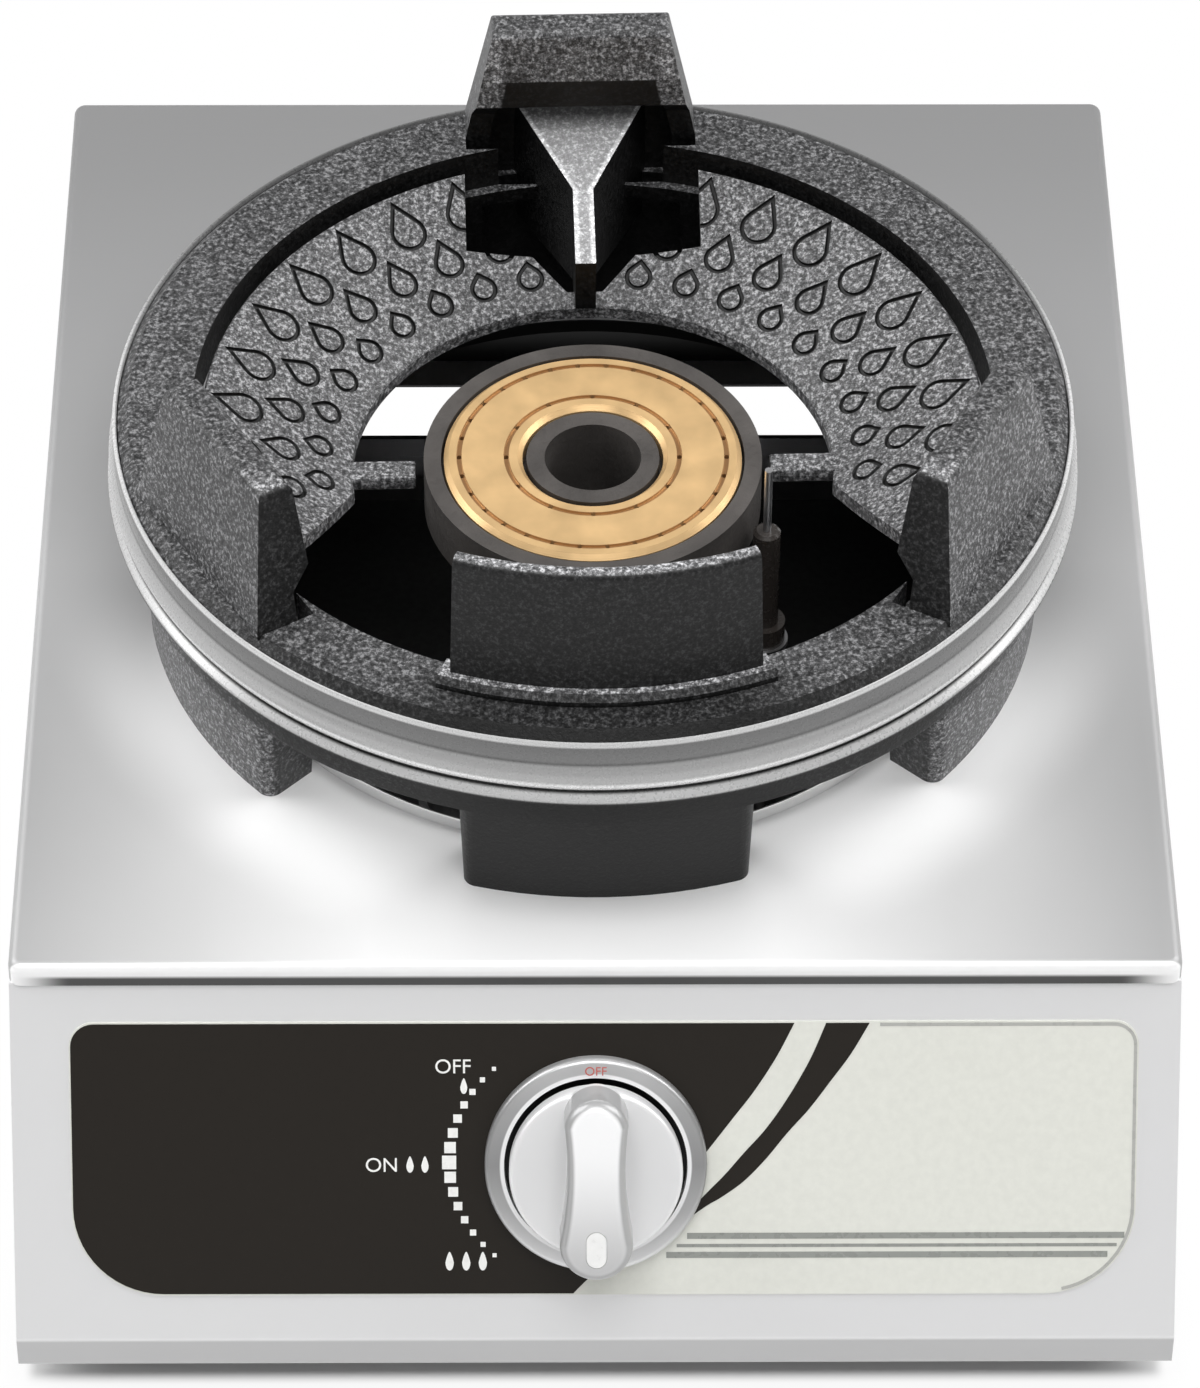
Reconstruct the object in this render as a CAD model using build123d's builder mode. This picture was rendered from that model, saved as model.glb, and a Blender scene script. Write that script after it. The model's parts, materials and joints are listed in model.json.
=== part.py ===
from build123d import *
import os
from math import atan2, cos, degrees, hypot, radians, sin, tan

os.makedirs("parts", exist_ok=True)

# A single-burner portable gas stove. Millimetres and degrees, +Z up, the control panel faces -Y.
# The origin lies under the middle of the overall box, at the height of the surface it stands on.

# Housing: bent stainless sheet on rubber feet
body_width = 280.0
panel_depth = 322.0
sheet = 0.8
fit_gap = 0.2
wall_front_gap = 1.0
cut_overrun = 5.0
lip_height = 6.5
lip_radius = 2.2
corner_radius = 3.0
rake_drop = 76.5
rake_forward = 46.0
strip_height = 10.0
bend_radius = 2.0
front_flange = 14.0
front_return = 12.0
side_flange = 24.0
back_flange = 11.0
foot_height = 10.0
foot_radius = 10.0
foot_toe_radius = 8.0
foot_round = 1.5
foot_inset = 28.0
burner_setback = 134.3
well_rim = 3.0
well_leg_gap = 3.0
vent_radius = 24.0

# Rear crossbar, burner bracket and their sheet
bar_sheet = 1.5
crossbar_width = 17.5
crossbar_height = 8.0
crossbar_setback = 260.7
bracket_width = 46.0
bracket_slope = 11.8
bracket_margin = 9.0

# Control panel: printed inlay, bezel ring and knob, placed down the slope of the raked front
dial_drop = 44.8
fascia_width = 256.0
fascia_offset = 2.0
fascia_height = 68.4
fascia_drop = 9.8
fascia_thickness = 0.6
fascia_top_radius = 6.0
fascia_low_radius = 22.0
bezel_radius = 26.7
bezel_bore = 22.0
bezel_height = 3.6
bezel_round = 1.4
knob_radius = 20.8
knob_lift = 5.2
knob_disc_height = 5.5
knob_round = 1.2
grip_length = 44.5
grip_top_width = 15.2
grip_waist = 14.0
grip_low_width = 17.4
grip_height = 15.0
grip_round = 3.0
grip_top_bulge = 6.6
grip_low_bulge = 9.0
hub_radius = 8.0
hub_depth = 9.0
panel_hole_radius = 10.5
pointer_length = 9.0
pointer_width = 5.0
pointer_depth = 1.2
pointer_end_gap = 3.6
push_travel = 4.0

# Gas tap behind the control panel, along the knob's own axis
stem_radius = 4.0
stem_flat = 2.9
stem_front_gap = 3.0
running_gap = 0.05
plug_radius = 8.0
plug_length = 26.0
tap_radius = 13.0
tap_depth = 13.5
tap_length = 34.0
tap_floor = 5.0
bar_depth = 32.0
bar_length = 54.0
bar_height = 18.0
bar_thickness = 16.0
outlet_radius = 7.0
outlet_reach = 17.0
gas_bore = 2.4
tube_spacing = 32.0
inlet_length = 7.0
spring_radius = 6.0
spring_wire = 0.8
spring_turns = 3
spring_end_gap = 0.3
stem_socket = 11.0
stem_end_gap = 0.8
stem_clearance = 0.5
plate_sheet = 1.2
tap_screw_offset = 10.5
tap_screw_radius = 1.3
tap_screw_length = 5.0
tap_screw_head = 2.2
tap_screw_head_height = 1.6
tap_plate_width = 26.0
tap_plate_left = 31.0
tap_plate_right = 50.0
tap_foot = 10.0
igniter_width = 16.0
igniter_height = 18.0
igniter_length = 30.0
igniter_round = 2.0
igniter_nose_radius = 4.0
igniter_nose_length = 5.0

# Jets, mixing tubes and air shutters
jet_radius = 4.0
jet_hex_width = 11.0
jet_hex_length = 5.0
jet_length = 13.0
jet_thread = 6.0
jet_tip_radius = 2.6
jet_bore = 0.6
tube_radius = 12.5
tube_bore = 9.0
tube_throat = 6.5
mouth_reach = 30.0
window_width = 9.0
window_length = 8.0
window_setback = 4.0
shutter_wall = 1.4
shutter_length = 16.0
shutter_setback = 1.0
shutter_tab_length = 11.0
shutter_tab_width = 8.0
shutter_tab_thickness = 1.5
riser_radius = 30.0
riser_wall = 4.0
riser_depth = 4.0
riser_below_tube = 19.0
air_core_wall = 3.0
socket_depth = 16.0
socket_gap = 0.1
seat_width = 3.0
ear_radius = 7.0
ear_reach = 36.0
ear_thickness = 6.0

# Burner head, heights above the top panel
burner_top = 41.6
burner_radius = 42.0
burner_rim_inner = 37.7
burner_rim_drop = 0.8
burner_skirt = 15.0
burner_shoulder_radius = 29.0
burner_shoulder_drop = 2.8
neck_radius = 24.0
air_bore = 12.0
core_radius = 16.5
cap_radius = 37.0
cap_bore = 17.5
cap_thickness = 5.0
cap_crown = 1.2
trough_floor = 22.0
trough_inner = 19.0
trough_outer = 35.0
divider_radius = 27.0
divider_wall = 2.0
passage_radius = 2.6
passage_circle = 20.4
passage_count = 10
port_circle_outer = 33.2
port_circle_inner = 21.5
port_radius = 0.7
port_count_outer = 30
port_count_inner = 12
port_groove_width = 1.2
port_groove_depth = 0.8

# Ignition electrode beside the burner
electrode_circle = 47.0
electrode_angle = -24.0
insulator_radius = 3.4
insulator_collar_radius = 5.2
insulator_collar_height = 6.0
insulator_below = 10.0
insulator_above = 34.0
insulator_chamfer = 0.8
pin_radius = 1.0
pin_rise = 20.0
lead_radius = 1.5
lead_run = 20.0
lead_sway = 3.0
lead_bend = 15.0
electrode_arm_width = 12.0

# Gas inlet at the rear
inlet_side_gap = 45.0
pipe_radius = 5.0
pipe_bend = 22.0
nipple_reach = 28.0
nipple_radius = 4.75
nipple_bore = 2.5
nipple_flange_radius = 9.0
nipple_flange = 3.0
nipple_thread_radius = 6.0
nipple_thread = 9.0
nipple_tip = 2.0
barb_count = 3
barb_depth = 0.6
barb_pitch = 4.5
nut_width = 17.0
nut_thickness = 5.0

# Pot support: one casting of ring, legs and claws, heights above the top panel
support_turn = 1.5
ring_height = 60.0
ring_inner = 98.8
ring_width = 18.2
ring_flange = 12.0
ring_round = 2.5
skirt_depth = 29.0
bead_reach = 1.2
bead_height = 4.0
leg_inset = 5.2
leg_depth = 14.0
leg_wall = 5.0
leg_half_angle = 18.4
leg_draft = 2.0
leg_round = 3.5
side_leg_turn = 4.9
leg_pocket_height = 44.0
leg_side_angle = 3.0
claw_spread = 60.0
claw_height = 36.8
claw_inset = 5.0
claw_base_width = 59.0
claw_lean_in = 5.8
claw_top_depth = 8.8
claw_top_width = 44.6
claw_bar_height = 15.0
claw_round = 2.2
claw_wall = 5.0
claw_side_wall = 6.0
post_lean = 1.4
post_foot = 14.0
post_undercut = 6.0
post_depth = 11.0
gusset_width = 34.0
gusset_neck_inset = 19.8
gusset_nose = 3.5
gusset_rib = 5.2
gusset_top = 7.5
gusset_fall = 12.0
gusset_foot_drop = 29.5
front_plate_inset = 12.3
front_plate_lean = 3.0
front_plate_thickness = 4.4
front_plate_half_angle = 20.7
front_plate_round = 1.6
front_foot_reach = 2.8
front_foot_height = 3.0
front_foot_half_angle = 22.0

# Flame bowl: the funnel insert inside the ring, open towards the front
bowl_rim_gap = 2.3
bowl_rim_width = 1.5
bowl_rim_drop = 3.8
bowl_lip_share = 0.336
bowl_lip_drop = 22.0
bowl_thickness = 4.0
mouth_lip_inset = 1.5
mouth_setback = 5.7
mouth_far_spread = 6.5
mouth_far_reach = 11.2
notch_gap = 0.5
notch_share = 0.335
notch_neck_width = 26.4
tongue_gap = 2.0
bridge_width = 3.5
bridge_gap = 0.5
arm_width = 6.6
arm_gap = 2.0
arm_overlap = 1.5
lug_height = 6.0
lug_half_angle = 6.0
lug_near_spread = 45.0
lug_far_spread = 92.0
lug_overlap = 2.0

# Trim ring: polished stainless band around the ring's waist
trim_gap = 0.3
trim_wall = 1.0
trim_drop = 1.5
trim_band = 7.5
trim_bulge = 1.4
trim_bulge_height = 8.0
trim_flare = 1.8
trim_flare_height = 1.5
trim_edge = 2.0

# Fasteners
screw_head_radius = 3.5
screw_head_height = 1.0
screw_radius = 1.6
screw_length = 4.0
screw_low_rise = 12.0
screw_high_drop = 14.0
bolt_head_radius = 4.0
bolt_head_height = 2.4
bolt_radius = 2.0

# Places worked out from the sizes above
panel_z = foot_height + strip_height + rake_drop + lip_height
ring_outer = ring_inner + ring_width
leg_outer = ring_outer - leg_inset
well_radius = leg_outer - leg_depth - well_leg_gap - sheet
bowl_rim_radius = ring_inner - bowl_rim_gap
bowl_rim_inner = bowl_rim_radius - bowl_rim_width
bowl_lip_radius = burner_radius + bowl_lip_share * (bowl_rim_inner - burner_radius)
rake_inset = sheet + fit_gap
rake_lean = degrees(atan2(rake_forward + rake_inset, rake_drop))
slope_y = sin(radians(rake_lean))
slope_z = cos(radians(rake_lean))
grip_top = knob_lift + knob_disc_height + grip_height
dial_from_edge = rake_inset - dial_drop * slope_y
dial_z = panel_z - lip_height - dial_drop * slope_z
knob_tip = (grip_length / 2 - grip_round) * slope_y + (grip_top - grip_round) * slope_z + grip_round
front_reach = knob_tip - dial_from_edge
edge_y = (front_reach - panel_depth - nipple_reach) / 2
front_y = edge_y - rake_forward
back_y = edge_y + panel_depth
panel_mid_y = edge_y + panel_depth / 2
axis_y = edge_y + burner_setback
wall_x = body_width / 2 - lip_radius
wall_back_y = back_y - lip_radius
ring_z = panel_z + ring_height
burner_axis = Axis((0, axis_y, 0), (0, 0, 1))
dial_plane = Plane(
    origin=(0, edge_y + dial_from_edge, dial_z), x_dir=(1, 0, 0), z_dir=(0, -slope_z, slope_y)
)
dial_axis = Axis(dial_plane.origin, dial_plane.z_dir)
tube_y = edge_y + dial_from_edge + bar_depth * slope_z
tube_z = dial_z - bar_depth * slope_y
mouth_y = edge_y + mouth_reach
riser_bottom_z = tube_z - riser_below_tube
riser_top_z = panel_z - riser_depth
flange_top_z = foot_height + sheet
floor_z = flange_top_z + sheet
inlet_offset = inlet_side_gap - body_width / 2
foot_screw_left = -tap_plate_left - tap_foot / 2
foot_screw_right = tap_plate_right + tap_foot / 2
screw_spots = []
for screw_z in (foot_height + strip_height + screw_low_rise, panel_z - lip_height - screw_high_drop):
    rake_y = edge_y + rake_inset - (panel_z - lip_height - screw_z) * slope_y / slope_z
    screw_spots.append((rake_y + sheet / slope_z + front_return / 2, screw_z))


def upright_plane(angle, height=0.0):
    """A vertical plane through the burner axis: x runs outwards at this angle, y is up from the panel."""
    out = (cos(radians(angle)), sin(radians(angle)), 0)
    return Plane(
        origin=(0, axis_y, panel_z + height), x_dir=out, z_dir=(out[1], -out[0], 0)
    )


def level_plane(angle, height):
    """A horizontal plane at a height above the panel, with x outwards at this angle from the burner axis."""
    out = (cos(radians(angle)), sin(radians(angle)), 0)
    return Plane(origin=(0, axis_y, panel_z + height), x_dir=out, z_dir=(0, 0, 1))


def ring_sector(inner, outer, half_angle):
    """Draws a piece of a flat ring about the x axis, in the sketch that is open."""
    far = Edge.make_circle(outer, start_angle=-half_angle, end_angle=half_angle)
    near = Edge.make_circle(inner, start_angle=-half_angle, end_angle=half_angle)
    make_face([far, near, Edge.make_line(far @ 0, near @ 0), Edge.make_line(far @ 1, near @ 1)])


def outline(*points):
    """Draws a closed straight-sided outline, in the sketch that is open."""
    Polygon(*points, align=None)


# Top panel: a shallow lid with a rolled edge and a raised rim round the burner well
with BuildPart() as top_panel:
    with BuildSketch(Plane.XY.offset(panel_z - lip_height)):
        with Locations((0, panel_mid_y)):
            RectangleRounded(body_width, panel_depth, corner_radius)
    extrude(amount=lip_height)
    fillet(top_panel.faces().sort_by(Axis.Z)[-1].edges(), lip_radius)
    offset(amount=-sheet, openings=top_panel.faces().sort_by(Axis.Z)[0])
    with BuildSketch(Plane.XY.offset(panel_z - sheet)):
        with Locations((0, axis_y)):
            Circle(well_radius + sheet)
    extrude(amount=sheet + well_rim)
    with BuildSketch(Plane.XY.offset(panel_z - lip_height)):
        with Locations((0, axis_y)):
            Circle(well_radius)
    extrude(amount=lip_height + well_rim + cut_overrun, mode=Mode.SUBTRACT)
top_panel.part.label = "top_panel"
export_step(top_panel.part, "parts/top_panel.step")

# Housing shell: two raked side walls and the back, with a flange turned in along the bottom
wall_front_y = front_y + sheet + wall_front_gap
with BuildPart() as housing_shell:
    with BuildSketch(Plane.YZ.offset(-wall_x)):
        outline(
            (wall_back_y, foot_height),
            (wall_front_y, foot_height),
            (wall_front_y, foot_height + strip_height),
            (edge_y + rake_inset + sheet / slope_z + wall_front_gap, panel_z - lip_height),
            (edge_y + rake_inset + sheet / slope_z + wall_front_gap, panel_z - sheet),
            (wall_back_y, panel_z - sheet),
        )
    extrude(amount=2 * wall_x)
    with BuildSketch(Plane.XY.offset(flange_top_z)):
        with Locations((0, wall_back_y - sheet)):
            Rectangle(2 * (wall_x - sheet), panel_depth + rake_forward, align=(Align.CENTER, Align.MAX))
    extrude(amount=panel_z, mode=Mode.SUBTRACT)
    with BuildSketch(Plane.XY.offset(foot_height)):
        with Locations((0, wall_back_y - back_flange)):
            Rectangle(2 * (wall_x - side_flange), panel_depth + rake_forward, align=(Align.CENTER, Align.MAX))
    extrude(amount=sheet, mode=Mode.SUBTRACT)
    with BuildSketch(Plane.XY.offset(foot_height)):
        with Locations((0, wall_front_y)):
            Rectangle(body_width, front_flange, align=(Align.CENTER, Align.MIN))
    extrude(amount=sheet + fit_gap, mode=Mode.SUBTRACT)
    with BuildSketch(Plane.XZ.offset(-wall_back_y - cut_overrun)):
        with Locations((inlet_offset, tube_z)):
            Circle(nipple_thread_radius + fit_gap)
    extrude(amount=2 * cut_overrun, mode=Mode.SUBTRACT)
    with BuildSketch(Plane.YZ.offset(-wall_x)):
        with Locations(*screw_spots):
            Circle(screw_radius + socket_gap)
    extrude(amount=2 * wall_x, mode=Mode.SUBTRACT)
housing_shell.part.label = "housing_shell"
export_step(housing_shell.part, "parts/housing_shell.step")

# Front panel: raked sheet with a vertical bottom strip, folded in along the floor and tucked behind the lip
with BuildPart() as front_panel:
    with BuildSketch(Plane.YZ.offset(-body_width / 2)):
        with BuildLine():
            FilletPolyline(
                (edge_y + rake_inset, panel_z - lip_radius),
                (edge_y + rake_inset, panel_z - lip_height),
                (front_y, foot_height + strip_height),
                (front_y, foot_height),
                (front_y + front_flange, foot_height),
                radius=bend_radius,
            )
            offset(amount=sheet, side=Side.LEFT)
        make_face()
    extrude(amount=body_width)
    for side in (-1, 1):
        with BuildSketch(Plane.YZ.offset(side * (wall_x - sheet))):
            outline(
                (front_y + sheet, flange_top_z + fit_gap + sheet),
                (front_y + sheet, foot_height + strip_height),
                (edge_y + rake_inset + sheet / slope_z, panel_z - lip_height - fit_gap),
                (edge_y + rake_inset + sheet / slope_z + front_return, panel_z - lip_height - fit_gap),
                (front_y + sheet + front_return, foot_height + strip_height),
                (front_y + sheet + front_return, flange_top_z + fit_gap + sheet),
            )
        extrude(amount=-side * sheet)
    with BuildSketch(Plane.XY.offset(panel_z - lip_height)):
        with Locations((-body_width / 2, panel_mid_y), (body_width / 2, panel_mid_y)):
            Rectangle(2 * corner_radius, panel_depth)
    extrude(amount=lip_height, mode=Mode.SUBTRACT)
    with BuildSketch(dial_plane):
        Circle(panel_hole_radius)
        with Locations((foot_screw_left, 0), (foot_screw_right, 0)):
            Circle(screw_radius + socket_gap)
    extrude(amount=cut_overrun, both=True, mode=Mode.SUBTRACT)
    with BuildSketch(Plane.YZ.offset(-wall_x)):
        with Locations(*screw_spots):
            Circle(screw_radius + socket_gap)
    extrude(amount=2 * wall_x, mode=Mode.SUBTRACT)
front_panel.part.label = "front_panel"
export_step(front_panel.part, "parts/front_panel.step")

# Rubber feet under the side flanges
foot_x = wall_x - side_flange / 2
with BuildPart() as rubber_feet:
    with Locations(
        (-foot_x, front_y + foot_inset),
        (foot_x, front_y + foot_inset),
        (-foot_x, wall_back_y - foot_inset),
        (foot_x, wall_back_y - foot_inset),
    ):
        Cone(foot_toe_radius, foot_radius, foot_height, align=(Align.CENTER, Align.CENTER, Align.MIN))
    fillet(rubber_feet.edges().group_by(Axis.Z)[0], foot_round)
rubber_feet.part.label = "rubber_feet"
export_step(rubber_feet.part, "parts/rubber_feet.step")

# Bottom plate on the flanges, with an air hole under the burner; the rear stays open for more air
brace_x = wall_x - sheet - fit_gap
crossbar_y = edge_y + crossbar_setback + crossbar_width / 2
floor_front_y = front_y + sheet + bend_radius
floor_back_y = crossbar_y + crossbar_width / 2
with BuildPart() as bottom_plate:
    with BuildSketch(Plane.XY.offset(flange_top_z)):
        with Locations((0, floor_front_y)):
            Rectangle(2 * brace_x, floor_back_y - floor_front_y, align=(Align.CENTER, Align.MIN))
        with Locations((0, axis_y)):
            Circle(vent_radius, mode=Mode.SUBTRACT)
    extrude(amount=sheet)
bottom_plate.part.label = "bottom_plate"
export_step(bottom_plate.part, "parts/bottom_plate.step")

# Burner bracket and rear crossbar, both standing on the bottom plate
bracket_top_length = 2 * (ear_reach + bracket_margin)
with BuildPart() as burner_bracket:
    with BuildSketch(Plane.XZ.offset(-axis_y - bracket_width / 2)):
        outline(
            (-brace_x, floor_z),
            (-brace_x, floor_z + bar_sheet),
            (-bracket_top_length / 2 - bracket_slope, floor_z + bar_sheet),
            (-bracket_top_length / 2, riser_bottom_z),
            (bracket_top_length / 2, riser_bottom_z),
            (bracket_top_length / 2 + bracket_slope, floor_z + bar_sheet),
            (brace_x, floor_z + bar_sheet),
            (brace_x, floor_z),
            (bracket_top_length / 2 + bracket_slope - bar_sheet, floor_z),
            (bracket_top_length / 2 - bar_sheet, riser_bottom_z - bar_sheet),
            (-bracket_top_length / 2 + bar_sheet, riser_bottom_z - bar_sheet),
            (-bracket_top_length / 2 - bracket_slope + bar_sheet, floor_z),
        )
    extrude(amount=bracket_width)
    with BuildSketch(Plane.XY.offset(foot_height)):
        with Locations((0, axis_y)):
            Circle(air_bore)
        with Locations((-ear_reach, axis_y), (ear_reach, axis_y)):
            Circle(bolt_radius + fit_gap)
    extrude(amount=riser_bottom_z, mode=Mode.SUBTRACT)
burner_bracket.part.label = "burner_bracket"
export_step(burner_bracket.part, "parts/burner_bracket.step")

with BuildPart() as rear_crossbar:
    with BuildSketch(Plane.YZ.offset(-brace_x)):
        with Locations((crossbar_y, floor_z)):
            Rectangle(crossbar_width, crossbar_height, align=(Align.CENTER, Align.MIN))
        with Locations((crossbar_y, floor_z + bar_sheet)):
            Rectangle(
                crossbar_width - 2 * bar_sheet,
                crossbar_height - bar_sheet,
                align=(Align.CENTER, Align.MIN),
                mode=Mode.SUBTRACT,
            )
    extrude(amount=2 * brace_x)
rear_crossbar.part.label = "rear_crossbar"
export_step(rear_crossbar.part, "parts/rear_crossbar.step")

# Printed inlay on the raked front, and the bezel ring on top of it
fascia_mid = dial_drop - fascia_drop - fascia_height / 2
with BuildPart() as control_fascia:
    with BuildSketch(dial_plane) as fascia_outline:
        with Locations((fascia_offset, fascia_mid)):
            Rectangle(fascia_width, fascia_height)
        fillet(fascia_outline.vertices().group_by(Axis.Y)[0], fascia_low_radius)
        fillet(fascia_outline.vertices().group_by(Axis.Y)[-1], fascia_top_radius)
        Circle(bezel_bore, mode=Mode.SUBTRACT)
    extrude(amount=fascia_thickness)
control_fascia.part.label = "control_fascia"
export_step(control_fascia.part, "parts/control_fascia.step")

with BuildPart() as knob_bezel:
    with BuildSketch(dial_plane.offset(fascia_thickness)):
        Circle(bezel_radius)
        Circle(bezel_bore, mode=Mode.SUBTRACT)
    extrude(amount=bezel_height)
    fillet(knob_bezel.faces().sort_by(dial_axis)[-1].edges().sort_by(SortBy.LENGTH)[-1], bezel_round)
knob_bezel.part.label = "knob_bezel"
export_step(knob_bezel.part, "parts/knob_bezel.step")

# Knob: a disc with a standing grip, a hub on the stem and a slot for the pointer
stem_top = knob_lift + stem_front_gap
slot_floor = grip_top - pointer_depth
pointer_mid = pointer_end_gap + pointer_length / 2 - grip_length / 2
with BuildPart() as knob:
    with BuildSketch(dial_plane.offset(knob_lift)):
        Circle(knob_radius)
    extrude(amount=knob_disc_height)
    fillet(knob.faces().sort_by(dial_axis)[-1].edges(), knob_round)
    with BuildSketch(dial_plane.offset(knob_lift)):
        Circle(hub_radius)
    extrude(amount=-hub_depth)
    with BuildSketch(dial_plane.offset(knob_lift + knob_disc_height - knob_round)):
        with BuildLine():
            right = ThreePointArc(
                (grip_low_width / 2, grip_low_bulge - grip_length / 2),
                (grip_waist / 2, 0),
                (grip_top_width / 2, grip_length / 2 - grip_top_bulge),
            )
            left = ThreePointArc(
                (-grip_low_width / 2, grip_low_bulge - grip_length / 2),
                (-grip_waist / 2, 0),
                (-grip_top_width / 2, grip_length / 2 - grip_top_bulge),
            )
            ThreePointArc(right @ 1, (0, grip_length / 2), left @ 1)
            ThreePointArc(right @ 0, (0, -grip_length / 2), left @ 0)
        make_face()
    extrude(amount=grip_height + knob_round)
    fillet(knob.faces().sort_by(dial_axis)[-1].edges(), grip_round)
    with BuildSketch(dial_plane.offset(slot_floor)):
        with Locations((0, pointer_mid)):
            SlotOverall(pointer_length, pointer_width, rotation=90)
    extrude(amount=pointer_depth, mode=Mode.SUBTRACT)
    with BuildSketch(dial_plane.offset(knob_lift - hub_depth)):
        Circle(stem_radius + running_gap)
        with Locations((0, stem_flat + running_gap)):
            Rectangle(
                2 * hub_radius, 2 * hub_radius, align=(Align.CENTER, Align.MIN), mode=Mode.SUBTRACT
            )
    extrude(amount=hub_depth + stem_front_gap, mode=Mode.SUBTRACT)
knob.part.label = "knob"
export_step(knob.part, "parts/knob.step")

with BuildPart() as knob_pointer:
    with BuildSketch(dial_plane.offset(slot_floor)):
        with Locations((0, pointer_mid)):
            SlotOverall(pointer_length - fit_gap, pointer_width - fit_gap, rotation=90)
    extrude(amount=pointer_depth)
knob_pointer.part.label = "knob_pointer"
export_step(knob_pointer.part, "parts/knob_pointer.step")

# Gas tap: body with a cross bar, turning plug, sliding stem and its spring
tap_back = tap_depth + tap_length
plug_back = tap_back - tap_floor
plug_front = plug_back - plug_length
outlet_y = tube_y + outlet_reach
inlet_x = -bar_length / 2 - inlet_length
with BuildPart() as valve_body:
    with BuildSketch(dial_plane.offset(-tap_depth)):
        Circle(tap_radius)
    extrude(amount=-tap_length)
    with BuildSketch(dial_plane.offset(bar_thickness / 2 - bar_depth)):
        Rectangle(bar_length, bar_height)
    extrude(amount=-bar_thickness)
    with BuildSketch(Plane.XZ.offset(-tube_y)):
        with Locations((-tube_spacing / 2, tube_z), (tube_spacing / 2, tube_z)):
            Circle(outlet_radius)
    extrude(amount=-outlet_reach)
    with BuildSketch(Plane.YZ.offset(inlet_x)):
        with Locations((tube_y, tube_z)):
            Circle(outlet_radius)
    extrude(amount=inlet_length)
    with BuildSketch(dial_plane.offset(-tap_depth)):
        Circle(plug_radius + running_gap)
    extrude(amount=-tap_length + tap_floor, mode=Mode.SUBTRACT)
    with BuildSketch(Plane.YZ.offset(inlet_x)):
        with Locations((tube_y, tube_z)):
            Circle(gas_bore)
    extrude(amount=bar_length / 2 + inlet_length + tube_spacing / 2, mode=Mode.SUBTRACT)
    with BuildSketch(Plane.XZ.offset(-outlet_y)):
        with Locations((-tube_spacing / 2, tube_z), (tube_spacing / 2, tube_z)):
            Circle(gas_bore)
    extrude(amount=outlet_reach, mode=Mode.SUBTRACT)
    with BuildSketch(Plane.XZ.offset(-outlet_y)):
        with Locations((-tube_spacing / 2, tube_z), (tube_spacing / 2, tube_z)):
            Circle(jet_radius + socket_gap)
    extrude(amount=jet_thread + fit_gap, mode=Mode.SUBTRACT)
    with BuildSketch(dial_plane.offset(-tap_depth)):
        with Locations((-tap_screw_offset, 0), (tap_screw_offset, 0)):
            Circle(tap_screw_radius + socket_gap)
    extrude(amount=-tap_screw_length - fit_gap, mode=Mode.SUBTRACT)
valve_body.part.label = "valve_body"
export_step(valve_body.part, "parts/valve_body.step")

with BuildPart() as valve_plug:
    with BuildSketch(dial_plane.offset(-plug_back)):
        Circle(plug_radius)
    extrude(amount=plug_length)
    with BuildSketch(dial_plane.offset(-plug_front)):
        Circle(stem_radius + running_gap)
        with Locations((0, stem_flat + running_gap)):
            Rectangle(
                2 * plug_radius, 2 * plug_radius, align=(Align.CENTER, Align.MIN), mode=Mode.SUBTRACT
            )
    extrude(amount=-stem_socket, mode=Mode.SUBTRACT)
    with BuildSketch(Plane.YZ.offset(-tap_radius)):
        with Locations((tube_y, tube_z)):
            Circle(gas_bore)
    extrude(amount=2 * tap_radius, mode=Mode.SUBTRACT)
valve_plug.part.label = "valve_plug"
export_step(valve_plug.part, "parts/valve_plug.step")

stem_low = plug_front + stem_socket - push_travel - stem_end_gap
with BuildPart() as valve_stem:
    with BuildSketch(dial_plane.offset(-stem_low)):
        Circle(stem_radius)
        with Locations((0, stem_flat)):
            Rectangle(
                2 * stem_radius, 2 * stem_radius, align=(Align.CENTER, Align.MIN), mode=Mode.SUBTRACT
            )
    extrude(amount=stem_low + stem_top)
valve_stem.part.label = "valve_stem"
export_step(valve_stem.part, "parts/valve_stem.step")

# Strap that carries the tap and the igniter behind the front panel
plate_front = tap_depth - plate_sheet
with BuildPart() as valve_bracket:
    with BuildSketch(Plane(dial_plane.origin, x_dir=dial_plane.x_dir, z_dir=-dial_plane.y_dir)):
        outline(
            (-tap_plate_left - tap_foot, -sheet),
            (-tap_plate_left + plate_sheet, -sheet),
            (-tap_plate_left + plate_sheet, -plate_front),
            (tap_plate_right - plate_sheet, -plate_front),
            (tap_plate_right - plate_sheet, -sheet),
            (tap_plate_right + tap_foot, -sheet),
            (tap_plate_right + tap_foot, -sheet - plate_sheet),
            (tap_plate_right, -sheet - plate_sheet),
            (tap_plate_right, -tap_depth),
            (-tap_plate_left, -tap_depth),
            (-tap_plate_left, -sheet - plate_sheet),
            (-tap_plate_left - tap_foot, -sheet - plate_sheet),
        )
    extrude(amount=tap_plate_width / 2, both=True)
    with BuildSketch(dial_plane.offset(-tap_depth)):
        Circle(stem_radius + stem_clearance)
        with Locations((-tap_screw_offset, 0), (tap_screw_offset, 0)):
            Circle(tap_screw_radius + socket_gap)
        with Locations((foot_screw_left, 0), (foot_screw_right, 0)):
            Circle(screw_radius + socket_gap)
    extrude(amount=tap_depth, mode=Mode.SUBTRACT)
valve_bracket.part.label = "valve_bracket"
export_step(valve_bracket.part, "parts/valve_bracket.step")

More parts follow.
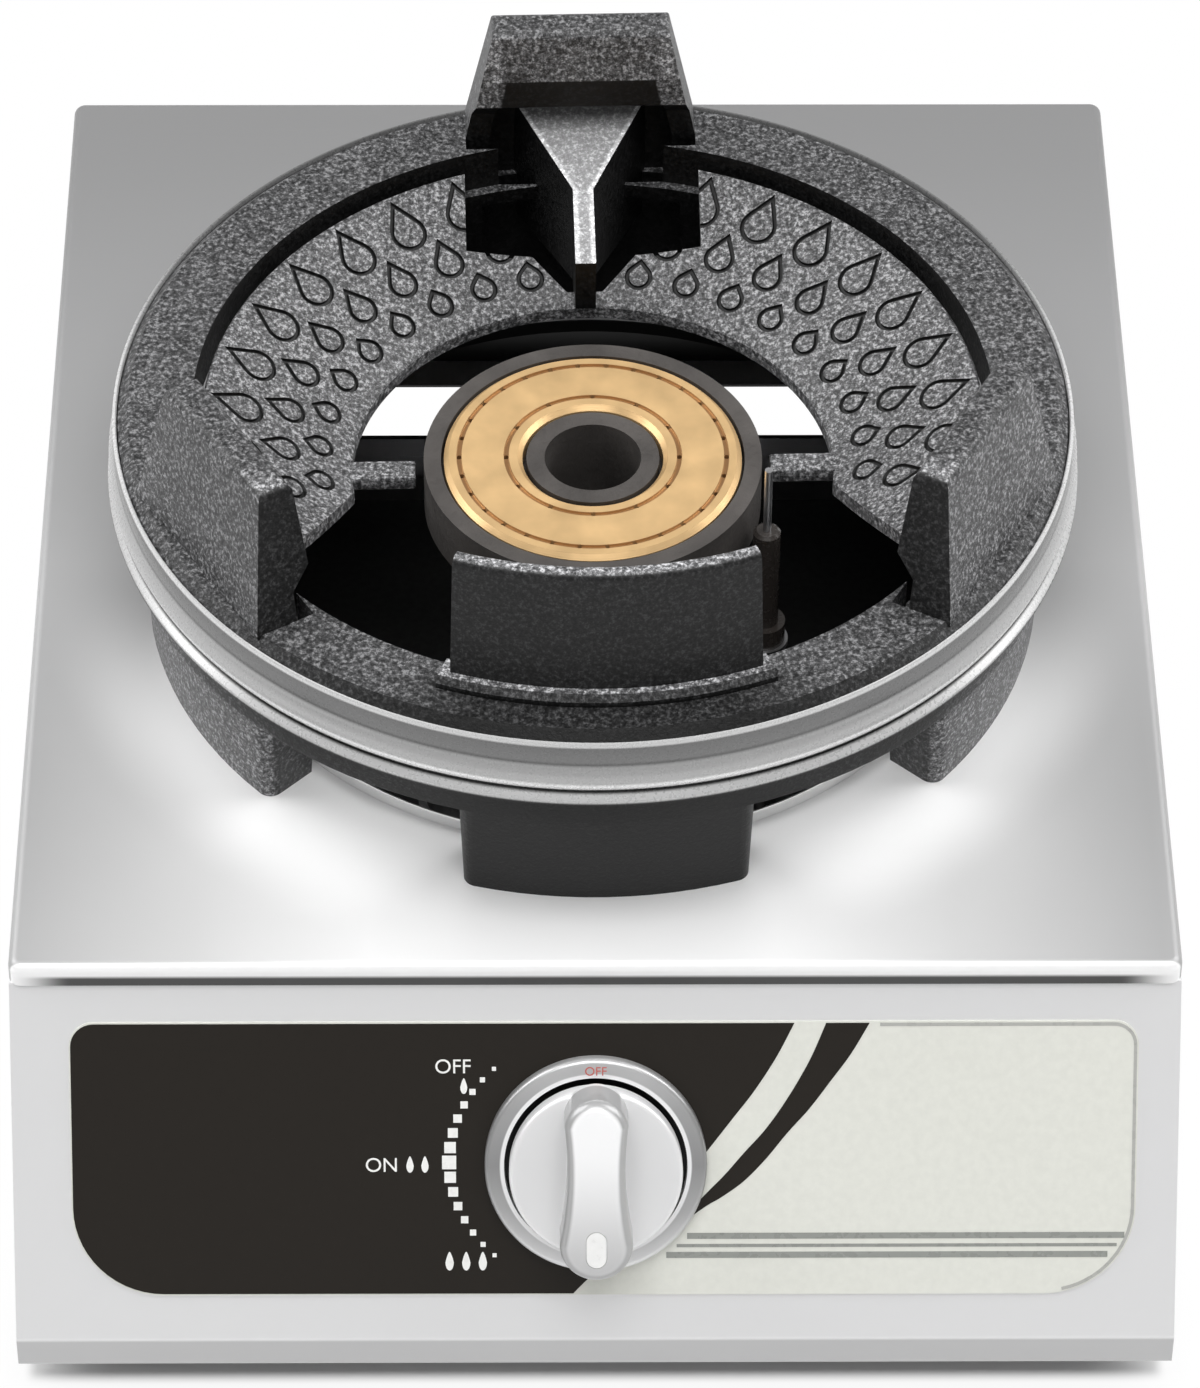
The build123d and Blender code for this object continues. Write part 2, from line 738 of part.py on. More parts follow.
spring_front = hub_depth - knob_lift + spring_wire / 2 + spring_end_gap
spring_back = plate_front - spring_wire / 2 - spring_end_gap
spring_plane = dial_plane.offset(-spring_back)
with BuildPart() as valve_spring:
    with BuildLine():
        coil = Helix(
            pitch=(spring_back - spring_front) / spring_turns,
            height=spring_back - spring_front,
            radius=spring_radius,
            center=spring_plane.origin,
            direction=spring_plane.z_dir,
        )
    with BuildSketch(Plane(origin=coil @ 0, z_dir=coil % 0)):
        Circle(spring_wire / 2)
    sweep()
valve_spring.part.label = "valve_spring"
export_step(valve_spring.part, "parts/valve_spring.step")

with BuildPart() as tap_screws:
    with BuildSketch(dial_plane.offset(-plate_front)):
        with Locations((-tap_screw_offset, 0), (tap_screw_offset, 0)):
            Circle(tap_screw_head)
    extrude(amount=tap_screw_head_height)
    with BuildSketch(dial_plane.offset(-plate_front)):
        with Locations((-tap_screw_offset, 0), (tap_screw_offset, 0)):
            Circle(tap_screw_radius)
    extrude(amount=-tap_screw_length - plate_sheet)
tap_screws.part.label = "tap_screws"
export_step(tap_screws.part, "parts/tap_screws.step")

with BuildPart() as bracket_screws:
    with BuildSketch(dial_plane.offset(-sheet - plate_sheet)):
        with Locations((foot_screw_left, 0), (foot_screw_right, 0)):
            Circle(screw_head_radius)
    extrude(amount=-screw_head_height)
    with BuildSketch(dial_plane.offset(-sheet - plate_sheet)):
        with Locations((foot_screw_left, 0), (foot_screw_right, 0)):
            Circle(screw_radius)
    extrude(amount=sheet + plate_sheet)
bracket_screws.part.label = "bracket_screws"
export_step(bracket_screws.part, "parts/bracket_screws.step")

# Igniter on the strap, to the right of the tap
igniter_x = tap_plate_right - plate_sheet - igniter_width / 2
with BuildPart() as piezo_igniter:
    with BuildSketch(dial_plane.offset(-tap_depth)):
        with Locations((igniter_x, 0)):
            RectangleRounded(igniter_width, igniter_height, igniter_round)
    extrude(amount=-igniter_length)
    with BuildSketch(dial_plane.offset(-tap_depth - igniter_length)):
        with Locations((igniter_x, 0)):
            Circle(igniter_nose_radius)
    extrude(amount=-igniter_nose_length)
piezo_igniter.part.label = "piezo_igniter"
export_step(piezo_igniter.part, "parts/piezo_igniter.step")

# Brass jets in the tap's outlets
with BuildPart() as outer_jet:
    with BuildSketch(Plane.XZ.offset(-outlet_y)):
        with Locations((tube_spacing / 2, tube_z)):
            RegularPolygon(jet_hex_width / 2, 6, major_radius=False)
    extrude(amount=-jet_hex_length)
    with BuildSketch(Plane.XZ.offset(-outlet_y)):
        with Locations((tube_spacing / 2, tube_z)):
            Circle(jet_radius)
    extrude(amount=jet_thread)
    with BuildSketch(Plane.XZ.offset(-outlet_y)):
        with Locations((tube_spacing / 2, tube_z)):
            Circle(jet_tip_radius)
    extrude(amount=-jet_length)
    with BuildSketch(Plane.XZ.offset(-outlet_y + jet_thread)):
        with Locations((tube_spacing / 2, tube_z)):
            Circle(jet_bore)
    extrude(amount=-jet_length - jet_thread, mode=Mode.SUBTRACT)
outer_jet.part.label = "outer_jet"
export_step(outer_jet.part, "parts/outer_jet.step")

with BuildPart() as inner_jet:
    mirror(outer_jet.part, about=Plane.YZ)
inner_jet.part.label = "inner_jet"
export_step(inner_jet.part, "parts/inner_jet.step")

# Mixing casting: a riser with an open core for the secondary air, and two mixing tubes to the front
seat_z = riser_top_z - socket_depth
core_outer = air_bore + air_core_wall
with BuildPart() as mixing_tubes:
    with BuildSketch(Plane.XY.offset(riser_bottom_z)):
        with Locations((0, axis_y)):
            Circle(riser_radius)
    extrude(amount=riser_top_z - riser_bottom_z)
    with BuildSketch(Plane.XY.offset(riser_bottom_z)):
        with Locations((0, axis_y)):
            SlotCenterToCenter(2 * ear_reach, 2 * ear_radius)
    extrude(amount=ear_thickness)
    with BuildSketch(Plane.XZ.offset(-mouth_y)):
        with Locations((-tube_spacing / 2, tube_z), (tube_spacing / 2, tube_z)):
            Circle(tube_radius)
    extrude(amount=mouth_y - axis_y)
    with BuildSketch(Plane.XY.offset(seat_z)):
        with Locations((0, axis_y)):
            Circle(neck_radius + socket_gap)
    extrude(amount=socket_depth, mode=Mode.SUBTRACT)
    with BuildSketch(Plane.XY.offset(riser_bottom_z + riser_wall)):
        with Locations((0, axis_y)):
            Circle(neck_radius - seat_width)
            Circle(core_outer, mode=Mode.SUBTRACT)
    extrude(amount=seat_z - riser_bottom_z - riser_wall, mode=Mode.SUBTRACT)
    with BuildSketch(Plane.XY.offset(riser_bottom_z)):
        with Locations((0, axis_y)):
            Circle(air_bore)
    extrude(amount=riser_top_z - riser_bottom_z, mode=Mode.SUBTRACT)
    with BuildSketch(Plane.XZ.offset(-mouth_y)):
        with Locations((-tube_spacing / 2, tube_z), (tube_spacing / 2, tube_z)):
            Circle(tube_bore)
    extrude(amount=mouth_y + core_outer - axis_y, mode=Mode.SUBTRACT)
    with BuildSketch(Plane.XY.offset(tube_z)):
        with Locations(
            (-tube_spacing / 2, mouth_y + window_setback), (tube_spacing / 2, mouth_y + window_setback)
        ):
            Rectangle(window_width, window_length, align=(Align.CENTER, Align.MIN))
    extrude(amount=tube_radius + cut_overrun, both=True, mode=Mode.SUBTRACT)
    with BuildSketch(Plane.XY.offset(riser_bottom_z)):
        with Locations((-ear_reach, axis_y), (ear_reach, axis_y)):
            Circle(bolt_radius + socket_gap)
    extrude(amount=ear_thickness, mode=Mode.SUBTRACT)
mixing_tubes.part.label = "mixing_tubes"
export_step(mixing_tubes.part, "parts/mixing_tubes.step")

# Air shutters: split sleeves that turn on the tube mouths
with BuildPart() as outer_air_shutter:
    with BuildSketch(Plane.XZ.offset(-mouth_y - shutter_setback)):
        with Locations((tube_spacing / 2, tube_z)):
            Circle(tube_radius + running_gap + shutter_wall)
        with Locations((tube_spacing / 2, tube_z + tube_radius + running_gap)):
            Rectangle(
                shutter_tab_width, shutter_tab_length, align=(Align.CENTER, Align.MIN)
            )
    extrude(amount=-shutter_tab_thickness)
    with BuildSketch(Plane.XZ.offset(-mouth_y - shutter_setback)):
        with Locations((tube_spacing / 2, tube_z)):
            Circle(tube_radius + running_gap + shutter_wall)
    extrude(amount=-shutter_length)
    with BuildSketch(Plane.XZ.offset(-mouth_y - shutter_setback)):
        with Locations((tube_spacing / 2, tube_z)):
            Circle(tube_radius + running_gap)
    extrude(amount=-shutter_length, mode=Mode.SUBTRACT)
    with BuildSketch(Plane.XY.offset(tube_z)):
        with Locations((tube_spacing / 2, mouth_y + window_setback)):
            Rectangle(window_width, window_length, align=(Align.CENTER, Align.MIN))
    extrude(amount=tube_radius + cut_overrun, both=True, mode=Mode.SUBTRACT)
outer_air_shutter.part.label = "outer_air_shutter"
export_step(outer_air_shutter.part, "parts/outer_air_shutter.step")

with BuildPart() as inner_air_shutter:
    mirror(outer_air_shutter.part, about=Plane.YZ)
inner_air_shutter.part.label = "inner_air_shutter"
export_step(inner_air_shutter.part, "parts/inner_air_shutter.step")

with BuildPart() as burner_bolts:
    with BuildSketch(Plane.XY.offset(riser_bottom_z - bar_sheet)):
        with Locations((-ear_reach, axis_y), (ear_reach, axis_y)):
            RegularPolygon(bolt_head_radius, 6)
    extrude(amount=-bolt_head_height)
    with BuildSketch(Plane.XY.offset(riser_bottom_z - bar_sheet)):
        with Locations((-ear_reach, axis_y), (ear_reach, axis_y)):
            Circle(bolt_radius)
    extrude(amount=bar_sheet + ear_thickness)
burner_bolts.part.label = "burner_bolts"
export_step(burner_bolts.part, "parts/burner_bolts.step")

# Burner head: cast body with two gas troughs round an open core, and the brass cap in its rim
rim_top = burner_top - burner_rim_drop
cap_seat = burner_top - cap_thickness
divider_in = divider_radius - divider_wall / 2
divider_out = divider_radius + divider_wall / 2
with BuildPart() as burner_body:
    with BuildSketch(upright_plane(0)):
        outline(
            (air_bore, -riser_depth - socket_depth),
            (neck_radius, -riser_depth - socket_depth),
            (neck_radius, -burner_shoulder_drop),
            (burner_shoulder_radius, -burner_shoulder_drop),
            (burner_shoulder_radius, 0),
            (burner_radius, rim_top - burner_skirt),
            (burner_radius, rim_top),
            (burner_rim_inner, rim_top),
            (burner_rim_inner, cap_seat),
            (trough_outer, cap_seat),
            (trough_outer, trough_floor),
            (divider_out, trough_floor),
            (divider_out, cap_seat),
            (divider_in, cap_seat),
            (divider_in, trough_floor),
            (trough_inner, trough_floor),
            (trough_inner, cap_seat),
            (core_radius, cap_seat),
            (core_radius, rim_top),
            (air_bore, rim_top),
        )
    revolve(axis=burner_axis)
    with BuildSketch(level_plane(0, -riser_depth - socket_depth)):
        with PolarLocations(passage_circle, passage_count):
            Circle(passage_radius)
    extrude(amount=trough_floor + riser_depth + socket_depth, mode=Mode.SUBTRACT)
burner_body.part.label = "burner_body"
export_step(burner_body.part, "parts/burner_body.step")

with BuildPart() as burner_cap:
    with BuildSketch(upright_plane(0)):
        outline(
            (cap_bore, cap_seat),
            (cap_radius, cap_seat),
            (cap_radius, burner_top - cap_crown),
            (cap_radius - cap_crown, burner_top),
            (cap_bore + cap_crown, burner_top),
            (cap_bore, burner_top - cap_crown),
        )
    revolve(axis=burner_axis)
    with BuildSketch(upright_plane(0)):
        for circle in (port_circle_outer, port_circle_inner):
            with Locations((circle, burner_top)):
                Rectangle(port_groove_width, 2 * port_groove_depth)
    revolve(axis=burner_axis, mode=Mode.SUBTRACT)
    with BuildSketch(level_plane(0, cap_seat)):
        with PolarLocations(port_circle_outer, port_count_outer):
            Circle(port_radius)
        with PolarLocations(port_circle_inner, port_count_inner):
            Circle(port_radius)
    extrude(amount=cap_thickness, mode=Mode.SUBTRACT)
burner_cap.part.label = "burner_cap"
export_step(burner_cap.part, "parts/burner_cap.step")

# Spark electrode: a plate held at the burner's neck carries the insulator and its pin
electrode_x = electrode_circle * cos(radians(electrode_angle))
electrode_y = axis_y + electrode_circle * sin(radians(electrode_angle))
with BuildPart() as electrode_plate:
    with BuildSketch(level_plane(electrode_angle, -riser_depth)):
        Circle(riser_radius)
        Rectangle(electrode_circle, electrode_arm_width, align=(Align.MIN, Align.CENTER))
        with Locations((electrode_circle, 0)):
            Circle(electrode_arm_width / 2)
        Circle(neck_radius + socket_gap, mode=Mode.SUBTRACT)
        with Locations((electrode_circle, 0)):
            Circle(insulator_radius + socket_gap, mode=Mode.SUBTRACT)
    extrude(amount=riser_depth - burner_shoulder_drop)
electrode_plate.part.label = "electrode_plate"
export_step(electrode_plate.part, "parts/electrode_plate.step")

insulator_base = -riser_depth - insulator_below
with BuildPart() as electrode_insulator:
    with BuildSketch(Plane((electrode_x, electrode_y, panel_z + insulator_base))):
        Circle(insulator_radius)
        Circle(pin_radius, mode=Mode.SUBTRACT)
    extrude(amount=insulator_above - insulator_base)
    with BuildSketch(Plane((electrode_x, electrode_y, panel_z - burner_shoulder_drop))):
        Circle(insulator_collar_radius)
        Circle(pin_radius, mode=Mode.SUBTRACT)
    extrude(amount=insulator_collar_height)
    insulator_top = electrode_insulator.faces().sort_by(Axis.Z)[-1]
    chamfer(insulator_top.edges().sort_by(SortBy.LENGTH)[-1], insulator_chamfer)
electrode_insulator.part.label = "electrode_insulator"
export_step(electrode_insulator.part, "parts/electrode_insulator.step")

with BuildPart() as electrode_pin:
    with BuildSketch(Plane((electrode_x, electrode_y, panel_z + insulator_base))):
        Circle(pin_radius)
    extrude(amount=insulator_above + pin_rise - insulator_base)
electrode_pin.part.label = "electrode_pin"
export_step(electrode_pin.part, "parts/electrode_pin.step")

# Ignition lead: from the igniter's nose under the panel and up to the electrode
lead_start = dial_plane.from_local_coords(
    (igniter_x, 0, -tap_depth - igniter_length - igniter_nose_length)
)
lead_low = lead_start - dial_plane.z_dir * lead_run
lead_mid = (electrode_x + lead_sway, mouth_y + lead_run, lead_low.Z)
lead_far = (electrode_x, electrode_y, tube_z)
lead_end = (electrode_x, electrode_y, panel_z + insulator_base)
with BuildPart() as ignition_lead:
    with BuildLine() as lead_route:
        FilletPolyline(lead_start, lead_low, lead_mid, lead_far, lead_end, radius=lead_bend)
    with BuildSketch(Plane(origin=lead_start, z_dir=-dial_plane.z_dir)):
        Circle(lead_radius)
    sweep()
ignition_lead.part.label = "ignition_lead"
export_step(ignition_lead.part, "parts/ignition_lead.step")

# Gas inlet at the rear: hose nipple through the back wall, its nut, and the pipe to the tap
nipple_inner_y = wall_back_y - nipple_thread
nipple_tip_y = back_y + nipple_reach
barb_start = nipple_tip_y - nipple_tip - barb_count * barb_pitch
nipple_outline = [
    (nipple_inner_y, tube_z + nipple_bore),
    (nipple_inner_y, tube_z + nipple_thread_radius),
    (wall_back_y, tube_z + nipple_thread_radius),
    (wall_back_y, tube_z + nipple_flange_radius),
    (wall_back_y + nipple_flange, tube_z + nipple_flange_radius),
    (wall_back_y + nipple_flange, tube_z + nipple_radius),
]
for tooth in range(barb_count):
    nipple_outline.append((barb_start + tooth * barb_pitch, tube_z + nipple_radius))
    nipple_outline.append((barb_start + (tooth + 1) * barb_pitch, tube_z + nipple_radius - barb_depth))
nipple_outline.append((nipple_tip_y - nipple_tip, tube_z + nipple_radius))
nipple_outline.append((nipple_tip_y, tube_z + nipple_radius - barb_depth))
nipple_outline.append((nipple_tip_y, tube_z + nipple_bore))
with BuildPart() as inlet_nipple:
    with BuildSketch(Plane.YZ.offset(inlet_offset)):
        outline(*nipple_outline)
    revolve(axis=Axis((inlet_offset, 0, tube_z), (0, 1, 0)))
inlet_nipple.part.label = "inlet_nipple"
export_step(inlet_nipple.part, "parts/inlet_nipple.step")

with BuildPart() as inlet_nut:
    with BuildSketch(Plane.XZ.offset(sheet - wall_back_y)):
        with Locations((inlet_offset, tube_z)):
            RegularPolygon(nut_width / 2, 6, major_radius=False)
            Circle(nipple_thread_radius + socket_gap, mode=Mode.SUBTRACT)
    extrude(amount=nut_thickness)
inlet_nut.part.label = "inlet_nut"
export_step(inlet_nut.part, "parts/inlet_nut.step")

with BuildPart() as gas_inlet_pipe:
    with BuildLine():
        FilletPolyline(
            (inlet_x, tube_y, tube_z),
            (inlet_offset, tube_y, tube_z),
            (inlet_offset, nipple_inner_y, tube_z),
            radius=pipe_bend,
        )
    with BuildSketch(Plane.YZ.offset(inlet_x)):
        with Locations((tube_y, tube_z)):
            Circle(pipe_radius)
            Circle(nipple_bore, mode=Mode.SUBTRACT)
    sweep()
gas_inlet_pipe.part.label = "gas_inlet_pipe"
export_step(gas_inlet_pipe.part, "parts/gas_inlet_pipe.step")

# Housing screws through the side walls into the front panel's returns
with BuildPart() as housing_screws:
    for side in (-1, 1):
        with BuildSketch(Plane.YZ.offset(side * wall_x)):
            with Locations(*screw_spots):
                Circle(screw_head_radius)
        extrude(amount=side * screw_head_height)
        with BuildSketch(Plane.YZ.offset(side * wall_x)):
            with Locations(*screw_spots):
                Circle(screw_radius)
        extrude(amount=-side * screw_length)
housing_screws.part.label = "housing_screws"
export_step(housing_screws.part, "parts/housing_screws.step")

# Flame bowl: a funnel whose rim lies on lugs inside the ring, open to the front and notched for the rear claw
bowl_rim_z = ring_height - bowl_rim_drop
bowl_lip_z = ring_height - bowl_lip_drop
rear_angle = 90 + support_turn
gusset_end = bowl_lip_radius - gusset_nose
notch_half = claw_base_width / 2 + notch_gap
notch_inner = bowl_lip_radius + notch_share * (bowl_rim_inner - bowl_lip_radius)
tongue_half = gusset_rib / 2 + tongue_gap
bridge_outer = bowl_lip_radius + bridge_width
mouth_half = bowl_lip_radius - mouth_lip_inset
mouth_far_half = ring_inner + mouth_far_spread
mouth_far = ring_inner + mouth_far_reach
with BuildPart() as flame_bowl:
    with BuildSketch(upright_plane(0)):
        outline(
            (bowl_rim_radius, bowl_rim_z),
            (bowl_rim_inner, bowl_rim_z),
            (bowl_lip_radius, bowl_lip_z),
            (bowl_lip_radius, bowl_lip_z - bowl_thickness),
            (bowl_rim_inner, bowl_rim_z - bowl_thickness),
            (bowl_rim_radius, bowl_rim_z - bowl_thickness),
        )
    revolve(axis=burner_axis)
    with BuildSketch(level_plane(support_turn, 0)):
        outline(
            (-mouth_half, -mouth_setback),
            (-mouth_far_half, -mouth_far),
            (mouth_far_half, -mouth_far),
            (mouth_half, -mouth_setback),
        )
    extrude(amount=ring_height, mode=Mode.SUBTRACT)
    with BuildSketch(level_plane(rear_angle, 0)):
        outline(
            (ring_inner, notch_half),
            (notch_inner, notch_half),
            (notch_inner, notch_neck_width / 2),
            (bridge_outer, tongue_half),
            (bridge_outer, -tongue_half),
            (notch_inner, -notch_neck_width / 2),
            (notch_inner, -notch_half),
            (ring_inner, -notch_half),
        )
    extrude(amount=ring_height, mode=Mode.SUBTRACT)
    for side in (-1, 1):
        with BuildSketch(level_plane(support_turn, bowl_lip_z - bowl_thickness)):
            with Locations((side * (burner_radius + arm_gap), 0)):
                Rectangle(
                    bowl_lip_radius - burner_radius - arm_gap + arm_overlap,
                    arm_width,
                    align=(Align.MIN if side > 0 else Align.MAX, Align.CENTER),
                )
        extrude(amount=bowl_thickness)
flame_bowl.part.label = "flame_bowl"
export_step(flame_bowl.part, "parts/flame_bowl.step")

# One claw, facing along x: a hollow block that leans inwards on two posts
claw_base_outer = ring_outer - claw_inset
claw_top_outer = claw_base_outer - claw_lean_in
claw_front = claw_top_outer - claw_top_depth
post_front = claw_front - post_lean
post_inner = claw_base_outer - post_depth
bar_low = claw_height - claw_bar_height
claw_lean = claw_lean_in / claw_height
recess_outer = claw_base_outer - claw_wall
recess_drop = ring_height - leg_pocket_height
recess_half = claw_base_width / 2 - claw_side_wall
recess_top_half = recess_half - (claw_base_width - claw_top_width) / 2 * bar_low / claw_height
claw_plane = upright_plane(0, ring_height)
claw_end_plane = Plane(
    origin=(0, axis_y, ring_z), x_dir=(0, 1, 0), z_dir=(1, 0, 0)
)
with BuildPart() as claw:
    with BuildSketch(claw_plane):
        outline(
            (claw_base_outer, -ring_flange),
            (claw_base_outer, 0),
            (claw_top_outer, claw_height),
            (claw_front, claw_height),
            (post_front, post_foot),
            (post_inner, post_foot - post_undercut),
            (post_inner, -ring_flange),
        )
    extrude(amount=claw_base_width, both=True)
    with BuildSketch(claw_end_plane):
        outline(
            (-claw_base_width / 2, -ring_flange),
            (-claw_base_width / 2, 0),
            (-claw_top_width / 2, claw_height),
            (claw_top_width / 2, claw_height),
            (claw_base_width / 2, 0),
            (claw_base_width / 2, -ring_flange),
        )
    extrude(amount=claw_base_outer + ring_outer, mode=Mode.INTERSECT)
    fillet(claw.faces().sort_by(Axis.Z)[-1].edges(), claw_round)

# The space under a claw, open to the inside and down through the ring into the leg
with BuildPart() as claw_recess:
    with BuildSketch(claw_plane):
        outline(
            (bowl_rim_radius, -recess_drop),
            (bowl_rim_radius, bar_low),
            (recess_outer - claw_lean * bar_low, bar_low),
            (recess_outer, 0),
            (recess_outer, -recess_drop),
        )
    extrude(amount=claw_base_width, both=True)
    with BuildSketch(claw_end_plane):
        outline(
            (-recess_half, -recess_drop),
            (-recess_half, 0),
            (-recess_top_half, bar_low),
            (recess_top_half, bar_low),
            (recess_half, 0),
            (recess_half, -recess_drop),
        )
    extrude(amount=claw_base_outer + ring_outer, mode=Mode.INTERSECT)
    with BuildSketch(claw_plane):
        outline(
            (bowl_rim_radius, -recess_drop),
            (bowl_rim_radius, 0),
            (post_inner, 0),
            (post_inner, -recess_drop),
        )
    extrude(amount=claw_base_width / 2, both=True)

# The rear claw's gusset: a wedge that runs in between the posts and ends in a rib over the burner
gusset_neck = ring_inner - gusset_neck_inset
bowl_slope = (bowl_lip_drop - bowl_rim_drop) / (bowl_rim_inner - bowl_lip_radius)
rib_drop = bowl_lip_drop - bowl_slope * bridge_width - bridge_gap
with BuildPart() as gusset:
    with BuildSketch(level_plane(0, ring_height - gusset_foot_drop)):
        outline(
            (recess_outer, -gusset_width / 2),
            (gusset_neck, -gusset_rib / 2),
            (gusset_end, -gusset_rib / 2),
            (gusset_end, gusset_rib / 2),
            (gusset_neck, gusset_rib / 2),
            (recess_outer, gusset_width / 2),
        )
    extrude(amount=gusset_foot_drop + claw_height)
    with BuildSketch(claw_plane):
        outline(
            (gusset_end, -rib_drop),
            (gusset_end, gusset_top - gusset_fall),
            (recess_outer, gusset_top),
            (recess_outer, -gusset_foot_drop),
            (bridge_outer + bridge_gap, -gusset_foot_drop),
            (bridge_outer + bridge_gap, -rib_drop),
        )
    extrude(amount=gusset_width, both=True, mode=Mode.INTERSECT)

# Pot support: ring, four hollow legs, three claws and the curved front plate in one casting
trim_low = ring_height - trim_drop - trim_band - trim_bulge_height - trim_flare_height - trim_edge
claw_angles = (rear_angle, rear_angle + 2 * claw_spread, rear_angle - 2 * claw_spread)
front_angle = rear_angle + 180
leg_angles = (
    rear_angle,
    claw_angles[1] - side_leg_turn,
    claw_angles[2] + side_leg_turn,
    front_angle,
)
lug_angles = (
    rear_angle - lug_near_spread,
    rear_angle + lug_near_spread,
    rear_angle - lug_far_spread,
    rear_angle + lug_far_spread,
)
front_plate_outer = ring_outer - front_plate_inset
front_plate_top_outer = front_plate_outer - front_plate_lean
with BuildPart() as pot_support:
    with BuildSketch(upright_plane(0)):
        outline(
            (ring_inner, ring_height),
            (ring_outer - ring_round, ring_height),
            (ring_outer, ring_height - ring_round),
            (ring_outer, trim_low),
            (ring_outer + bead_reach, trim_low),
            (ring_outer + bead_reach, trim_low - bead_height),
            (ring_outer, trim_low - bead_height),
            (ring_outer, ring_height - skirt_depth),
            (leg_outer, ring_height - skirt_depth),
            (leg_outer, ring_height - ring_flange),
            (ring_inner, ring_height - ring_flange),
        )
    revolve(axis=burner_axis)
    for angle in leg_angles:
        with BuildSketch(level_plane(angle, 0)) as leg_outline:
            ring_sector(leg_outer - leg_depth, leg_outer, leg_half_angle)
            fillet(leg_outline.vertices().sort_by(Axis.X)[-2:], leg_round)
        extrude(amount=ring_height - ring_flange, taper=-leg_draft)
        with BuildSketch(level_plane(angle, 0)):
            ring_sector(leg_outer - 2 * leg_depth, leg_outer - leg_wall, leg_half_angle - leg_side_angle)
        extrude(amount=leg_pocket_height, mode=Mode.SUBTRACT)
    for angle in lug_angles:
        with BuildSketch(level_plane(angle, bowl_rim_z - bowl_thickness - lug_height)):
            ring_sector(bowl_rim_inner, ring_inner + lug_overlap, lug_half_angle)
        extrude(amount=lug_height)
    for angle in claw_angles:
        add(claw.part.rotate(burner_axis, angle))
        add(claw_recess.part.rotate(burner_axis, angle), mode=Mode.SUBTRACT)
    add(gusset.part.rotate(burner_axis, rear_angle))
    with BuildSketch(upright_plane(front_angle - front_plate_half_angle, ring_height)) as plate_outline:
        outline(
            (front_plate_outer, -front_foot_height),
            (front_plate_top_outer, claw_height),
            (front_plate_top_outer - front_plate_thickness, claw_height),
            (front_plate_outer - front_plate_thickness, -front_foot_height),
        )
        fillet(plate_outline.vertices().group_by(Axis.Y)[-1], front_plate_round)
    revolve(axis=burner_axis, revolution_arc=2 * front_plate_half_angle)
    with BuildSketch(upright_plane(front_angle - front_foot_half_angle, ring_height)):
        outline(
            (front_plate_outer + front_foot_reach, -front_foot_height),
            (front_plate_outer + front_foot_reach, front_foot_height / 2),
            (front_plate_outer + front_foot_reach / 2, front_foot_height),
            (front_plate_outer - front_plate_thickness, front_foot_height),
            (front_plate_outer - front_plate_thickness, -front_foot_height),
        )
    revolve(axis=burner_axis, revolution_arc=2 * front_foot_half_angle)
pot_support.part.label = "pot_support"
export_step(pot_support.part, "parts/pot_support.step")

# Trim ring: rolled stainless band standing on the casting's bead
trim_inner = ring_outer + trim_gap
trim_outer = trim_inner + trim_wall
trim_top = ring_height - trim_drop
trim_bulge_top = trim_top - trim_band
trim_bulge_low = trim_bulge_top - trim_bulge_height
with BuildPart() as trim_ring:
    with BuildSketch(upright_plane(0)):
        with BuildLine():
            inside = Line((trim_inner, trim_low), (trim_inner, trim_top))
            crown = Line(inside @ 1, (trim_outer, trim_top))
            band = Line(crown @ 1, (trim_outer, trim_bulge_top))
            bulge = ThreePointArc(
                band @ 1,
                (trim_outer + trim_bulge, (trim_bulge_top + trim_bulge_low) / 2),
                (trim_outer, trim_bulge_low),
            )
            flare = Line(bulge @ 1, (trim_outer + trim_flare, trim_low + trim_edge))
            hem = Line(flare @ 1, (trim_outer + trim_flare, trim_low))
            Line(hem @ 1, inside @ 0)
        make_face()
    revolve(axis=burner_axis)
trim_ring.part.label = "trim_ring"
export_step(trim_ring.part, "parts/trim_ring.step")
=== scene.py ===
"""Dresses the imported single-burner stove: enamel casting, flame bowl, satin sheet and printed controls."""
import json
import math

import bpy
from bpy.props import FloatProperty, FloatVectorProperty, PointerProperty
from mathutils import Matrix, Vector


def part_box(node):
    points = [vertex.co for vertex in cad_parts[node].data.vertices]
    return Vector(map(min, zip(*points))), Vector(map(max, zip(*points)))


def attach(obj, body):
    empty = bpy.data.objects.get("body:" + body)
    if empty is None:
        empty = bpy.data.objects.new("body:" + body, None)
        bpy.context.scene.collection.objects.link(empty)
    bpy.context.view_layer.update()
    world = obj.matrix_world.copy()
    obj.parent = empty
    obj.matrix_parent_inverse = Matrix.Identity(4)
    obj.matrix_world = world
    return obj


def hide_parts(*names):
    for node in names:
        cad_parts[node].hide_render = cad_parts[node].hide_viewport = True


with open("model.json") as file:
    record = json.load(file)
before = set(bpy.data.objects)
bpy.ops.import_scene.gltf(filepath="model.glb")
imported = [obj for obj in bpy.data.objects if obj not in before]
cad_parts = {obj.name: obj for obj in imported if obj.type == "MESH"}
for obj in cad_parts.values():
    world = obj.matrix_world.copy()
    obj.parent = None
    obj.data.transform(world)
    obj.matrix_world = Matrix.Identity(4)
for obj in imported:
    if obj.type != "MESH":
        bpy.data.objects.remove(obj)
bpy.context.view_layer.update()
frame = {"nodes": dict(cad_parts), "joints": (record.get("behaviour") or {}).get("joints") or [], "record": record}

bl_info = {
    "name": "Gas Stove Dressing",
    "version": (1, 0, 0),
    "blender": (4, 5, 0),
    "location": "View3D > Sidebar > Stove",
    "description": "Finishes, flame bowl, trim ring and printed controls for the packed gas stove",
    "category": "Object",
}

